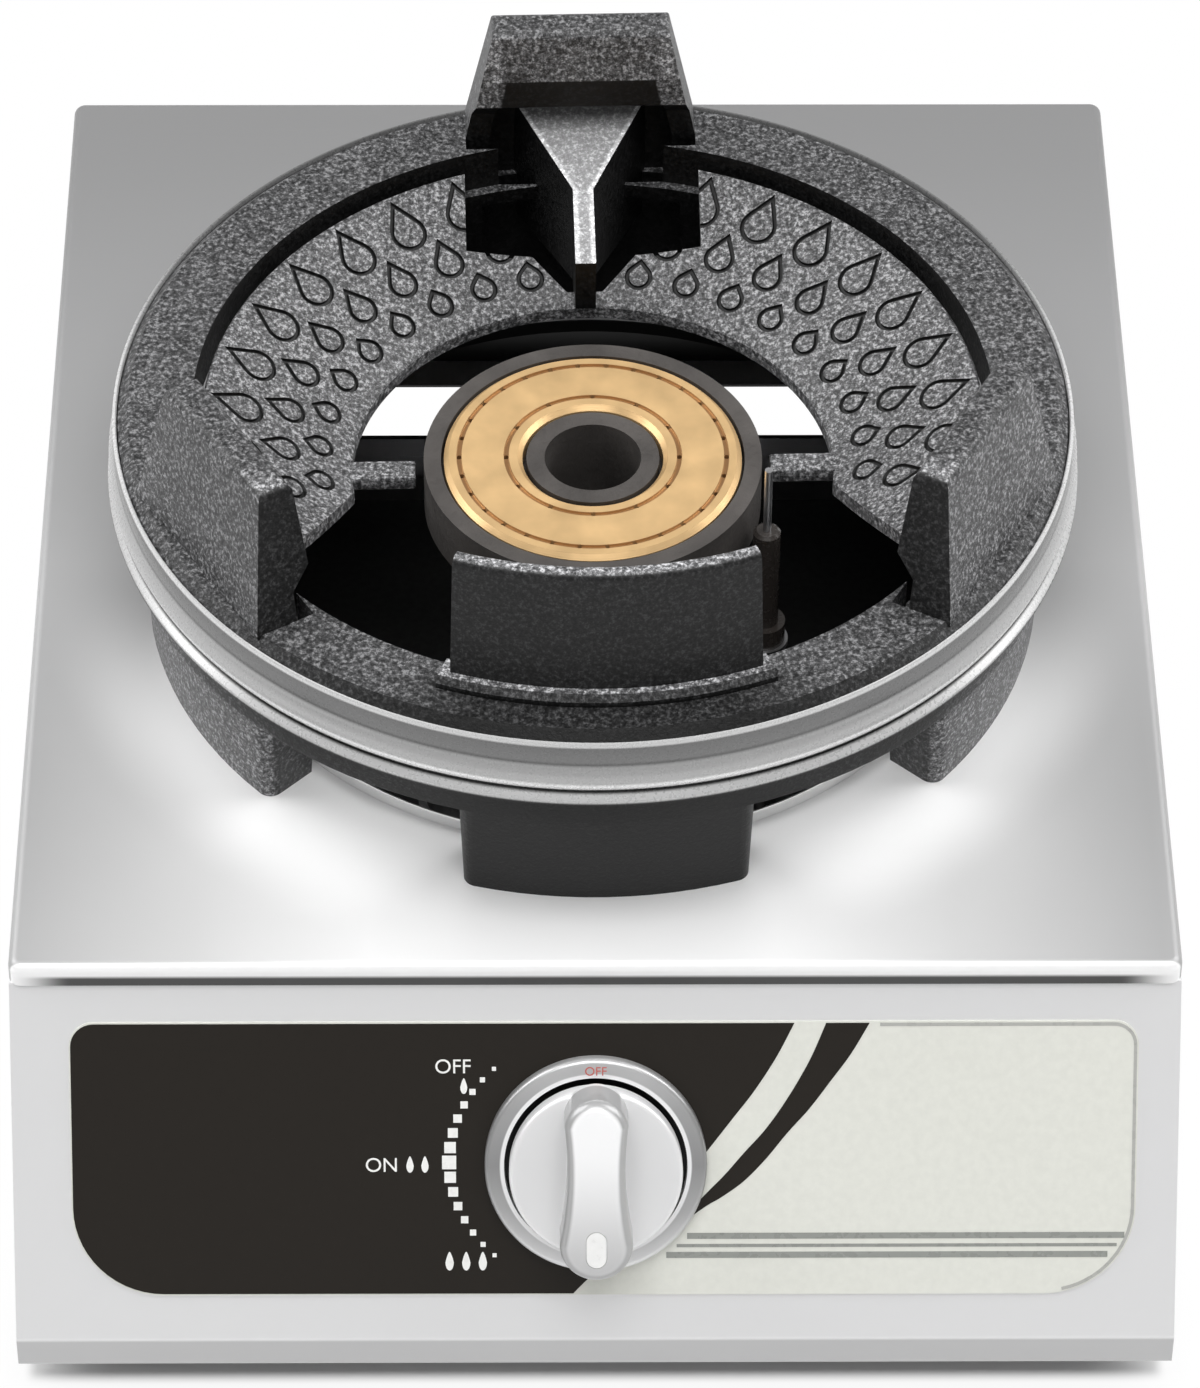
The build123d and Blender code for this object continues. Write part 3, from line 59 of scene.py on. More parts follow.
# Sizes are in metres, and those of the print in millimetres about the dial's centre.
MM = 0.001
MERGE = 1e-6
FULL_TURN = 2 * math.pi
JOINTS = {joint["name"]: joint for joint in frame["joints"]}
DIAL = Vector(JOINTS["knob_turn"]["pos_m"])
DIAL_OUT = Vector(JOINTS["knob_turn"]["axis"]).normalized()
DIAL_RIGHT = Vector((1, 0, 0))
DIAL_UP = DIAL_OUT.cross(DIAL_RIGHT)
DIAL_AXES = Matrix((DIAL_RIGHT, DIAL_UP, DIAL_OUT)).transposed()
DIAL_TURN = DIAL_AXES.to_euler()
PANEL_LOW, PANEL_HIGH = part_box("top_panel")
CAP_LOW, CAP_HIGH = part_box("burner_cap")
BOWL_LOW, BOWL_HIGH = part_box("flame_bowl")
TRIM_LOW, TRIM_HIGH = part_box("trim_ring")
FASCIA_LOW, FASCIA_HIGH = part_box("control_fascia")
FRONT_LOW, FRONT_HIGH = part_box("front_panel")
BURNER_X = 0.0
BURNER_Y = (CAP_LOW.y + CAP_HIGH.y) / 2
# The pot support, in its own axes about the burner, with the zones of its painted light and shade.
SUPPORT_TURN = math.radians(1.5)
RING_TOP = BOWL_HIGH.z + 0.0038
RING_LOW = RING_TOP - 0.029
BAR_LOW = RING_TOP + 0.0218
POST_FOOT = RING_TOP + 0.014
REAR_CLAW = (0.054, 0.108)
CLAW_HALF = 0.0235
CLAW_TAPER = 0.1957
OPENING_HALF = 0.0178
PLATE_REAR = 0.1044
PLATE_NECK = 0.079
PLATE_STEM = 0.0026
PLATE_FLARE = 0.514
PLATE_PAINTED_LIGHT = (0.34, 0.34, 0.342)
# The lid, the front and the knob, with the zones of their painted light and shade.
WELL_RADIUS = 0.0940
GLOW_START = 0.105
GLOW_END = 0.140
GLOW_SHIFT = 0.005
STRIP_HEIGHT = 0.0092
KNOB_HOLE = 0.0222
GRIP_FOOT = 0.0110
# What the finishes share: scorched ports, the painted shade of inward faces, the reach of a noise, the trim's
# painted reflections.
PORT_CIRCLES = (0.0332, 0.0215)
PORT_HALF = 0.0004
SCORCH = (0.38, 0.21, 0.09)
# Factor of the painted shade on inward faces and in the hole under the knob.
PAINTED_SHADE = 0.015
NOISE_LOW = 0.3
NOISE_HIGH = 0.7
# Tones of the trim's painted reflections and painted shadow lines, from its top down.
TRIM_PAINTED_REFLECTIONS = (
    (0.0, 0.62), (0.05, 0.62), (0.08, 0.16), (0.32, 0.19), (0.36, 0.11), (0.41, 0.36), (0.62, 0.46),
    (0.66, 0.85), (0.74, 0.85), (0.78, 0.01), (0.825, 0.01), (0.85, 0.60), (0.93, 0.50), (0.96, 0.01),
)


class StoveSizes(bpy.types.PropertyGroup):
    """Sizes of the modelled pieces."""

    bowl_rim: FloatProperty(
        name="Bowl rim", description="Outer radius of the flame bowl", default=0.0965, unit="LENGTH")
    bowl_rim_inner: FloatProperty(
        name="Bowl flat", description="Inner radius of the bowl's flat rim", default=0.095, unit="LENGTH")
    bowl_lip: FloatProperty(
        name="Bowl lip", description="Radius of the hole in the bowl", default=0.0598, unit="LENGTH")
    bowl_wall: FloatProperty(
        name="Bowl wall", description="Upright thickness of the bowl", default=0.004, unit="LENGTH")
    bowl_bridge: FloatProperty(
        name="Bowl bridge", description="Width of the lip left under the rear rib",
        default=0.0035, unit="LENGTH")
    arm_width: FloatProperty(
        name="Arm width", description="Width of the two arms at the bowl's lip",
        default=0.0066, unit="LENGTH")
    arm_end: FloatProperty(
        name="Arm end", description="Radius at which the arms end, near the burner",
        default=0.044, unit="LENGTH")
    drop_pitch: FloatProperty(
        name="Drop pitch", description="Angle between drops in a row",
        default=math.radians(10.6), subtype="ANGLE")
    drop_start: FloatProperty(
        name="Drop start", description="Angle from the rear to the first drop", default=math.radians(22.4),
        subtype="ANGLE")
    groove: FloatProperty(
        name="Groove", description="Radius of the groove round each drop", default=0.0007, unit="LENGTH")
    print_lift: FloatProperty(
        name="Print lift", description="Height of the printed layer on the inlay",
        default=0.00008, unit="LENGTH")


class StoveColours(bpy.types.PropertyGroup):
    """Colours of the finishes."""

    steel: FloatVectorProperty(
        name="Steel", description="Satin stainless sheet", subtype="COLOR", size=3,
        default=(0.86, 0.86, 0.865))
    # The lid's three colours are painted light: a painted reflection, darkest at the rear and palest in the middle
    # of the front.
    panel_rear: FloatVectorProperty(
        name="Lid rear", description="Satin lid at its rear", subtype="COLOR", size=3,
        default=(0.27, 0.27, 0.272))
    panel_side: FloatVectorProperty(
        name="Lid sides", description="Satin lid at its front corners", subtype="COLOR", size=3,
        default=(0.38, 0.38, 0.382))
    panel_glow: FloatVectorProperty(
        name="Lid middle", description="Satin lid in the middle of its front", subtype="COLOR", size=3,
        default=(0.96, 0.96, 0.96))
    enamel_dark: FloatVectorProperty(
        name="Enamel ground", description="Ground coat of the casting", subtype="COLOR", size=3,
        default=(0.012, 0.012, 0.0125))
    enamel_mid: FloatVectorProperty(
        name="Enamel grain", description="Grey grains of the casting", subtype="COLOR", size=3,
        default=(0.075, 0.075, 0.077))
    enamel_light: FloatVectorProperty(
        name="Enamel fleck", description="Pale flecks of the casting", subtype="COLOR", size=3,
        default=(0.22, 0.22, 0.225))
    brass: FloatVectorProperty(
        name="Brass", description="Machined burner cap", subtype="COLOR", size=3,
        default=(0.77, 0.515, 0.25))
    print_dark: FloatVectorProperty(
        name="Dark print", description="Dark field of the inlay", subtype="COLOR", size=3,
        default=(0.017, 0.014, 0.011))
    print_pale: FloatVectorProperty(
        name="Pale print", description="Cream field of the inlay", subtype="COLOR", size=3,
        default=(0.72, 0.725, 0.67))
    print_line: FloatVectorProperty(
        name="Line print", description="Thin lines of the inlay", subtype="COLOR", size=3,
        default=(0.28, 0.29, 0.27))
    silver: FloatVectorProperty(
        name="Silver", description="Lacquered knob and bezel", subtype="COLOR", size=3,
        default=(0.86, 0.86, 0.865))


class StoveStage(bpy.types.PropertyGroup):
    """Camera and light."""

    lens: FloatProperty(
        name="Lens", description="Focal length of the camera in millimetres", default=168.634)
    camera_place: FloatVectorProperty(
        name="Camera place", description="Where the camera stands", subtype="TRANSLATION", size=3,
        default=(-0.0119, PANEL_LOW.y - 1.05348, CAP_HIGH.z + 1.0927))
    camera_aim: FloatVectorProperty(
        name="Camera aim", description="Direction in which the camera looks", subtype="DIRECTION", size=3,
        default=(0.00841, 0.71053, -0.70361))
    camera_roll: FloatProperty(
        name="Camera roll", description="Turn of the camera about its aim", subtype="ANGLE",
        default=math.radians(0.375))
    over_light: FloatProperty(
        name="Overhead", description="Brightness of the sky overhead", default=0.68)
    rear_light: FloatProperty(
        name="Rear", description="Brightness of the sky behind the stove", default=0.35)
    front_light: FloatProperty(
        name="Front card", description="Brightness of the card low in front", default=0.85)


def sizes():
    return bpy.context.scene.stove_sizes


def colours():
    return bpy.context.scene.stove_colours


def deselect():
    if bpy.context.object and bpy.context.object.mode != "OBJECT":
        bpy.ops.object.mode_set(mode="OBJECT")
    bpy.ops.object.select_all(action="DESELECT")


def activate(obj):
    deselect()
    obj.select_set(True)
    bpy.context.view_layer.objects.active = obj


def name_new(name):
    obj = bpy.context.object
    obj.name = name
    obj.data.name = name
    return obj


def apply_place(obj):
    activate(obj)
    bpy.ops.object.transform_apply(location=True, rotation=True, scale=True)


def apply_modifier(obj, kind, **values):
    activate(obj)
    modifier = obj.modifiers.new(kind.title(), kind)
    for key, value in values.items():
        setattr(modifier, key, value)
    bpy.ops.object.modifier_apply(modifier=modifier.name)


def set_material(obj, material):
    obj.data.materials.clear()
    obj.data.materials.append(material)


def settle(obj, body, slot, material, *nodes):
    """Gives a finished piece its body and material, and hides the nodes it stands for; the slot is not used."""
    apply_place(obj)
    set_material(obj, material)
    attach(obj, body)
    if nodes:
        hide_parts(*nodes)


def edit_all():
    bpy.ops.object.mode_set(mode="EDIT")
    bpy.ops.mesh.select_all(action="SELECT")


def tidy_mesh(obj):
    activate(obj)
    edit_all()
    bpy.ops.mesh.remove_doubles(threshold=MERGE)
    bpy.ops.mesh.normals_make_consistent(inside=False)
    bpy.ops.object.mode_set(mode="OBJECT")


def smooth(obj, angle=30):
    activate(obj)
    bpy.ops.object.shade_smooth_by_angle(angle=math.radians(angle))


def spin_profile(name, profile, steps):
    """Turns a closed profile of (radius, height) points once round the burner axis."""
    deselect()
    bpy.ops.mesh.primitive_circle_add(vertices=len(profile), radius=MM)
    obj = name_new(name)
    for vertex, (radius, height) in zip(obj.data.vertices, profile):
        vertex.co = (BURNER_X + radius, BURNER_Y, height)
    edit_all()
    bpy.ops.mesh.spin(steps=steps, angle=FULL_TURN, center=(BURNER_X, BURNER_Y, 0), axis=(0, 0, 1))
    bpy.ops.object.mode_set(mode="OBJECT")
    tidy_mesh(obj)
    return obj


def dial_matrix(lift):
    """The place of the raked panel's own plane, x to the right and y up the slope, at a height above it."""
    return Matrix.Translation(DIAL + DIAL_OUT * lift) @ DIAL_AXES.to_4x4()


def draw_out(name, points, height):
    """A flat outline of points in space, drawn out upwards."""
    deselect()
    bpy.ops.mesh.primitive_circle_add(vertices=len(points), radius=MM, fill_type="NGON")
    obj = name_new(name)
    for vertex, point in zip(obj.data.vertices, points):
        vertex.co = point
    edit_all()
    bpy.ops.mesh.normals_make_consistent(inside=False)
    bpy.ops.mesh.extrude_region_move(TRANSFORM_OT_translate={"value": (0, 0, height)})
    bpy.ops.object.mode_set(mode="OBJECT")
    tidy_mesh(obj)
    return obj


def flat_print(name, points, lift, thickness):
    """A thin printed shape on the inlay, from its outline in millimetres about the dial's centre."""
    obj = draw_out(name, [(x * MM, y * MM, 0) for x, y in points], thickness)
    obj.matrix_world = dial_matrix(lift)
    apply_place(obj)
    return obj


def join(pieces, name):
    deselect()
    for piece in pieces:
        piece.select_set(True)
    bpy.context.view_layer.objects.active = pieces[0]
    bpy.ops.object.join()
    return name_new(name)


def opaque(colour):
    """A colour with the fourth part that sockets and ramps take."""
    return tuple(colour) + (1.0,)


def shade(colour, factor):
    return tuple(min(1.0, part * factor) for part in colour)


class Tree:
    """A short way to write nodes."""

    def __init__(self, owner):
        owner.use_nodes = True
        self.nodes = owner.node_tree.nodes
        self.links = owner.node_tree.links

    def add(self, kind, **values):
        """A node with its settings and input values, where an underscore stands for a space."""
        node = self.nodes.new(kind)
        for key, value in values.items():
            socket = key.replace("_", " ")
            if socket in node.inputs:
                node.inputs[socket].default_value = value
            else:
                setattr(node, key, value)
        return node

    def link(self, source, target):
        self.links.new(source, target)

    def feed(self, socket, value):
        """Links a socket, or sets it where the value is a number or a colour."""
        if isinstance(value, bpy.types.NodeSocket):
            self.link(value, socket)
        elif isinstance(value, (int, float)):
            socket.default_value = value
        else:
            socket.default_value = opaque(value)

    def math(self, operation, first, second=0.0):
        node = self.add("ShaderNodeMath", operation=operation)
        self.feed(node.inputs[0], first)
        self.feed(node.inputs[1], second)
        return node.outputs["Value"]

    def chain(self, operation, values):
        result = values[0]
        for value in values[1:]:
            result = self.math(operation, result, value)
        return result

    def product(self, *factors):
        return self.chain("MULTIPLY", factors)

    def most(self, *values):
        return self.chain("MAXIMUM", values)

    def blend(self, factor, first, second, kind="MIX"):
        node = self.add("ShaderNodeMix", data_type="RGBA", blend_type=kind)
        self.feed(node.inputs["Factor"], factor)
        self.feed(node.inputs["A"], first)
        self.feed(node.inputs["B"], second)
        return node.outputs["Result"]

    def dim(self, zone, colour, factor):
        """The colour times a factor, inside a zone."""
        return self.blend(zone, colour, (factor, factor, factor), "MULTIPLY")

    def split(self, vector):
        node = self.add("ShaderNodeSeparateXYZ")
        self.link(vector, node.inputs["Vector"])
        return node.outputs["X"], node.outputs["Y"], node.outputs["Z"]

    def mapped(self, **values):
        mapping = self.add("ShaderNodeMapping", **values)
        self.link(self.add("ShaderNodeTexCoord").outputs["Object"], mapping.inputs["Vector"])
        return mapping.outputs["Vector"]

    def about(self, centre, turn=(0, 0, 0)):
        """Object coordinates about a centre, in axes turned by the angles given."""
        return self.split(self.mapped(vector_type="TEXTURE", Location=centre, Rotation=turn))

    def place(self, stretch=(1, 1, 1)):
        return self.mapped(Scale=stretch)

    def facing(self):
        return self.add("ShaderNodeTexCoord").outputs["Normal"]

    def along(self, vector, direction):
        """How far a vector runs along a fixed direction."""
        node = self.add("ShaderNodeVectorMath", operation="DOT_PRODUCT")
        self.link(vector, node.inputs[0])
        node.inputs[1].default_value = direction
        return node.outputs["Value"]

    def length(self, first, second):
        return self.math("SQRT", self.math("ADD", self.product(first, first), self.product(second, second)))

    def step(self, source, low, high, start, end):
        """A smooth change from one value to another while the source goes from low to high."""
        node = self.add("ShaderNodeMapRange", interpolation_type="SMOOTHSTEP",
                        From_Min=low, From_Max=high, To_Min=start, To_Max=end)
        self.link(source, node.inputs["Value"])
        return node.outputs["Result"]

    def span(self, source, start, end):
        """A smooth step from 0 at the first value to 1 at the second."""
        if start < end:
            return self.step(source, start, end, 0.0, 1.0)
        return self.step(source, end, start, 1.0, 0.0)

    def within(self, source, low, high, soft):
        """1 between two values, 0 outside them."""
        return self.product(self.span(source, low - soft, low), self.span(source, high + soft, high))

    def share(self, source, low, high):
        """An even rise from 0 at the first value to 1 at the second."""
        return self.math("DIVIDE", self.math("SUBTRACT", source, low), high - low)

    def noise(self, vector, scale, detail=2.0, roughness=0.5):
        node = self.add("ShaderNodeTexNoise", Scale=scale, Detail=detail, Roughness=roughness)
        self.link(vector, node.inputs["Vector"])
        return node.outputs["Fac"]

    def ramp(self, source, stops):
        node = self.add("ShaderNodeValToRGB")
        elements = node.color_ramp.elements
        while len(elements) < len(stops):
            elements.new(0.5)
        for element, (place, colour) in zip(elements, stops):
            element.position = place
            element.color = opaque(colour)
        self.link(source, node.inputs["Fac"])
        return node.outputs["Color"]

    def shades(self, source, colour, *stops):
        """One colour, darker or paler by a factor at each stop."""
        return self.ramp(source, [(place, shade(colour, factor)) for place, factor in stops])

    def clouded(self, source, colour, low, high):
        """One colour that varies between two factors with a noise."""
        return self.shades(source, colour, (NOISE_LOW, low), (NOISE_HIGH, high))

    def mix_shaders(self, factor, first, second, output):
        node = self.add("ShaderNodeMixShader")
        self.link(factor, node.inputs["Fac"])
        self.link(first, node.inputs[1])
        self.link(second, node.inputs[2])
        self.link(node.outputs["Shader"], output.inputs["Surface"])


class MaterialTree(Tree):
    """The nodes of a new material round its Principled shader."""

    def __init__(self, name, **sockets):
        self.material = bpy.data.materials.new(name)
        super().__init__(self.material)
        self.shader = self.nodes["Principled BSDF"]
        for key, value in sockets.items():
            self.feed(self.shader.inputs[key.replace("_", " ")], value)

    def colour(self, source):
        self.link(source, self.shader.inputs["Base Color"])

    def rough(self, source, low, high):
        """Roughness between two values, by a noise."""
        node = self.add("ShaderNodeMapRange", From_Min=NOISE_LOW, From_Max=NOISE_HIGH,
                        To_Min=low, To_Max=high)
        self.link(source, node.inputs["Value"])
        self.link(node.outputs["Result"], self.shader.inputs["Roughness"])

    def brushed(self, low, high):
        """Roughness in fine lines across a sheet."""
        self.rough(self.noise(self.place((3, 320, 320)), 3.0, 3.0, 0.6), low, high)

    def polished(self, low, high):
        """Roughness in a fine grain."""
        self.rough(self.noise(self.place(), 900.0), low, high)

    def bump(self, source, strength, distance):
        node = self.add("ShaderNodeBump", Strength=strength, Distance=distance)
        self.link(source, node.inputs["Height"])
        self.link(node.outputs["Normal"], self.shader.inputs["Normal"])


def satin_sheet(name, colour):
    """Satin housing: bright outside, with painted shade on its inward faces."""
    tree = MaterialTree(name, Metallic=0.6)
    x, y, z = tree.about((0, 0, 0))
    nx, ny, nz = tree.split(tree.facing())
    sideways = tree.product(tree.math("SIGN", x), nx)
    # Faces turned inwards get painted shade.
    inside = tree.most(tree.span(sideways, -0.3, -0.6), tree.span(ny, -0.3, -0.6))
    outside = tree.clouded(tree.noise(tree.place(), 9.0), colour, 0.985, 1.01)
    tree.colour(tree.dim(inside, outside, PAINTED_SHADE))
    tree.brushed(0.36, 0.42)
    return tree.material


def front_sheet(name, colour):
    """Satin front: painted shade along the upright strip at its foot, and black painted shade in the hole under
    the knob.
    """
    tree = MaterialTree(name, Metallic=0.6)
    x, y, z = tree.about((0, 0, 0))
    # The strip at the foot is darker: painted shade.
    rise = tree.span(z, FRONT_LOW.z + STRIP_HEIGHT, FRONT_LOW.z + STRIP_HEIGHT + 0.0012)
    across, up, out = tree.about(DIAL, DIAL_TURN)
    # Painted shade in the hole under the knob.
    under_knob = tree.span(tree.length(across, up), KNOB_HOLE + 0.0004, KNOB_HOLE)
    tree.colour(tree.dim(under_knob, tree.shades(rise, colour, (0.0, 0.6), (1.0, 1.0)), PAINTED_SHADE))
    tree.brushed(0.32, 0.38)
    return tree.material


def graded_sheet(name, rear, side, glow):
    """Satin lid with painted light: paler from the rear to the front, palest in the middle of the front and round
    the stand, with a painted highlight on the front lip and painted shade under its fold and in the well.
    """
    tree = MaterialTree(name, Metallic=0.2)
    x, y, z = tree.about((BURNER_X, BURNER_Y, 0))
    radius = tree.length(x, y)
    front_edge = PANEL_LOW.y - BURNER_Y
    # The rear-to-front grading and the pale middle of the front are a painted reflection.
    edge = tree.ramp(tree.span(y, PANEL_HIGH.y - BURNER_Y, front_edge), [
        (0.0, shade(rear, 0.84)), (0.2, shade(rear, 1.05)), (0.6, shade(side, 1.1)), (1.0, side)])
    off_middle = tree.math("DIVIDE", tree.math("ABSOLUTE", tree.math("ADD", x, GLOW_SHIFT)), PANEL_HIGH.x)
    front = tree.ramp(off_middle, [
        (0.0, shade(glow, 0.95)), (0.35, shade(glow, 0.90)), (0.65, shade(glow, 0.60)),
        (1.0, shade(side, 0.96))])
    colour = tree.blend(tree.span(y, 0.0, -0.075), edge, front)
    # Painted light round the stand; a painted highlight along the front lip; painted shade under the lip's fold
    # and inside the well.
    near = tree.product(tree.span(radius, GLOW_END, GLOW_START), tree.span(y, 0.0, -0.06))
    lip = tree.span(y, front_edge + 0.0016, front_edge + 0.0010)
    fold = tree.product(lip, tree.span(z, PANEL_LOW.z + 0.0036, PANEL_LOW.z + 0.0022),
                        tree.span(tree.math("ABSOLUTE", x), PANEL_HIGH.x, PANEL_HIGH.x - 0.015))
    well = tree.span(radius, WELL_RADIUS + 0.0004, WELL_RADIUS + 0.0002)
    colour = tree.dim(fold, tree.blend(tree.most(near, lip), colour, glow), 0.06)
    tree.colour(tree.dim(well, colour, 0.03))
    tree.brushed(0.36, 0.42)
    return tree.material


def enamel_ground(name, depth):
    """The speckled ground of the enamel: its nodes and its colour."""
    tints = colours()
    tree = MaterialTree(name, Coat_Weight=0.05, Coat_Roughness=0.35, Specular_IOR_Level=0.3)
    place = tree.place()
    grain = tree.noise(place, 900.0, 2.0, 0.8)
    colour = tree.ramp(grain, [
        (0.36, shade(tints.enamel_dark, depth)),
        (0.46, shade(tints.enamel_mid, 0.55 * depth)),
        (0.54, shade(tints.enamel_mid, depth)),
        (0.66, shade(tints.enamel_light, depth)),
    ])
    tree.rough(grain, 0.4, 0.62)
    tree.bump(grain, 0.35, 0.0004)
    cloud = tree.clouded(tree.noise(place, 45.0), (1, 1, 1), 0.7, 1.0)
    return tree, tree.blend(0.3, colour, cloud, "MULTIPLY")


def speckled_enamel(name, depth):
    tree, colour = enamel_ground(name, depth)
    tree.colour(colour)
    return tree.material


def support_enamel(name):
    """Enamel of the casting with painted light and shade: dark in hollows and on inward and forward faces, pale on
    outer faces, edges, tops and the rear plate.
    """
    tree, colour = enamel_ground(name, 1.04)
    x, y, z = tree.about((BURNER_X, BURNER_Y, 0), (0, 0, SUPPORT_TURN))
    nx, ny, nz = tree.split(tree.facing())
    wide = tree.math("ABSOLUTE", x)
    outward = tree.math("ADD", tree.product(nx, x), tree.product(ny, y))
    outward = tree.math("DIVIDE", outward, tree.length(x, y))
    sideways = tree.product(tree.math("SIGN", x), nx)
    upright = tree.span(nz, 0.75, 0.45)
    level = tree.span(nz, 0.75, 0.9)
    inner = tree.product(upright, tree.span(outward, -0.4, -0.7))
    outer = tree.product(upright, tree.span(outward, 0.3, 0.6), tree.span(y, -0.09, -0.08))
    side_legs = tree.product(tree.span(wide, 0.050, 0.056), tree.span(z, RING_LOW + 0.001, RING_LOW - 0.001))
    forward = tree.product(tree.span(ny, -0.15, -0.7), tree.span(y, 0.02, -0.05),
                           tree.math("SUBTRACT", 1.0, side_legs))

    rear = tree.within(y, *REAR_CLAW, 0.002)
    bar = tree.product(inner, rear, tree.span(z, BAR_LOW - 0.0002, BAR_LOW + 0.0002))
    flank = tree.product(inner, rear, tree.span(wide, 0.0200, 0.0206),
                         tree.span(z, POST_FOOT - 0.001, POST_FOOT))
    ring_wall = tree.product(inner, tree.span(z, RING_TOP + 0.001, RING_TOP - 0.0005))
    half = tree.math("SUBTRACT", CLAW_HALF + CLAW_TAPER * RING_TOP, tree.product(z, CLAW_TAPER))
    inside = tree.most(tree.span(tree.math("SUBTRACT", half, wide), 0.0, 0.0006),
                       tree.span(sideways, -0.3, -0.6))
    hollow = tree.product(rear, upright, tree.most(
        tree.product(inside, tree.span(z, BAR_LOW + 0.0002, BAR_LOW - 0.0002)),
        tree.product(tree.span(z, POST_FOOT, POST_FOOT - 0.001), tree.span(sideways, 0.6, 0.4)),
        tree.product(tree.span(wide, OPENING_HALF, OPENING_HALF - 0.0006),
                     tree.span(z, BAR_LOW, BAR_LOW - 0.0004))))
    # Painted shade on forward faces, the side legs, the ring's inner wall and the rear claw's hollow; painted
    # light on outer faces, the rear bar and its flanks.
    for zone, factor in (
        (forward, 0.18), (outer, 3.0), (tree.product(side_legs, upright), 0.62),
        (bar, 1.85), (flank, 1.6), (tree.most(ring_wall, hollow), 0.05),
    ):
        colour = tree.dim(zone, colour, factor)

    # Painted light on the rear claw's plate, with painted highlights along its edges.
    plate = tree.product(level, tree.span(wide, OPENING_HALF, OPENING_HALF - 0.0008),
                         tree.within(y, REAR_CLAW[0], PLATE_REAR, 0.0006),
                         tree.within(z, RING_TOP - 0.006, RING_TOP + 0.009, 0.0005))
    flare = tree.product(tree.math("MAXIMUM", tree.math("SUBTRACT", y, PLATE_NECK), 0.0), PLATE_FLARE)
    from_edge = tree.math("SUBTRACT", tree.math("ADD", flare, PLATE_STEM), wide)
    plate_edge = tree.product(plate, tree.span(from_edge, 0.0016, 0.0008))
    plate_painted_light = tree.blend(0.55, tree.dim(plate, colour, 3.6), PLATE_PAINTED_LIGHT)
    colour = tree.blend(plate, colour, plate_painted_light)

    # Painted light on the front claw's top and foot; painted shade on the ring's front.
    front_top = tree.product(level, tree.span(y, -0.060, -0.070), tree.span(z, BAR_LOW, BAR_LOW + 0.005))
    foot = tree.product(tree.span(nz, 0.3, 0.5), tree.span(y, -0.085, -0.090), tree.span(wide, 0.048, 0.044),
                        tree.within(z, RING_TOP + 0.001, RING_TOP + 0.004, 0.0003))
    ring_front = tree.product(tree.span(y, -0.0945, -0.0965), tree.span(wide, 0.055, 0.030),
                              tree.span(z, RING_TOP + 0.001, RING_TOP + 0.0002))
    for zone, factor in ((plate_edge, 1.9), (front_top, 2.6), (foot, 3.0), (ring_front, 0.3)):
        colour = tree.dim(zone, colour, factor)
    tree.colour(colour)
    return tree.material


def banded_trim(name):
    """Rolled band with painted reflections: bright rim, grey wall, pale roll and bright lip, painted shadow lines
    between, painted shade over the rear.
    """
    tree = MaterialTree(name, Metallic=0.3)
    x, y, z = tree.about((BURNER_X, BURNER_Y, TRIM_HIGH.z))
    down = tree.math("DIVIDE", z, TRIM_LOW.z - TRIM_HIGH.z)
    painted_reflections = tree.shades(down, (1, 1, 1), *TRIM_PAINTED_REFLECTIONS)
    tree.colour(tree.dim(tree.span(y, 0.0, 0.08), painted_reflections, 0.25))
    tree.polished(0.26, 0.30)
    return tree.material


def knob_silver(name, colour):
    """Lacquered knob with painted light: pale on top of the grip, painted shade down its sides."""
    tree = MaterialTree(name, Metallic=0.2, Coat_Weight=0.2)
    across, up, out = tree.about(DIAL, DIAL_TURN)
    top = tree.span(tree.along(tree.facing(), DIAL_OUT), 0.80, 0.97)
    disc = tree.shades(top, colour, (0.0, 0.95), (1.0, 0.91))
    crown = tree.shades(tree.span(up, -0.024, 0.014), colour, (0.0, 0.62), (0.5, 0.90), (1.0, 1.15))
    grip = tree.blend(top, shade(colour, 0.46), crown)
    tree.colour(tree.blend(tree.span(out, GRIP_FOOT, GRIP_FOOT + 0.0006), disc, grip))
    tree.polished(0.28, 0.30)
    return tree.material


def bezel_silver(name, colour):
    """Plated bezel with a painted reflection: pale above and below, grey at both sides, with a painted highlight
    on its inner edge.
    """
    tree = MaterialTree(name, Metallic=0.4, Coat_Weight=0.2)
    across, up, out = tree.about(DIAL, DIAL_TURN)
    band = tree.shades(tree.share(up, -0.027, 0.027), colour,
                       (0.0, 0.95), (0.3, 0.50), (0.5, 0.34), (0.75, 0.44), (1.0, 0.68))
    edge = tree.span(tree.length(across, up), 0.0232, 0.0228)
    tree.colour(tree.blend(edge, band, shade(colour, 1.1)))
    tree.polished(0.28, 0.30)
    return tree.material


def bare_casting(name, colour, metallic):
    tree = MaterialTree(name, Metallic=metallic)
    place = tree.place()
    grain = tree.noise(place, 700.0, 3.0, 0.6)
    tree.colour(tree.clouded(tree.noise(place, 60.0), colour, 0.7, 1.25))
    tree.rough(grain, 0.45, 0.7)
    tree.bump(grain, 0.25, 0.0004)
    return tree.material


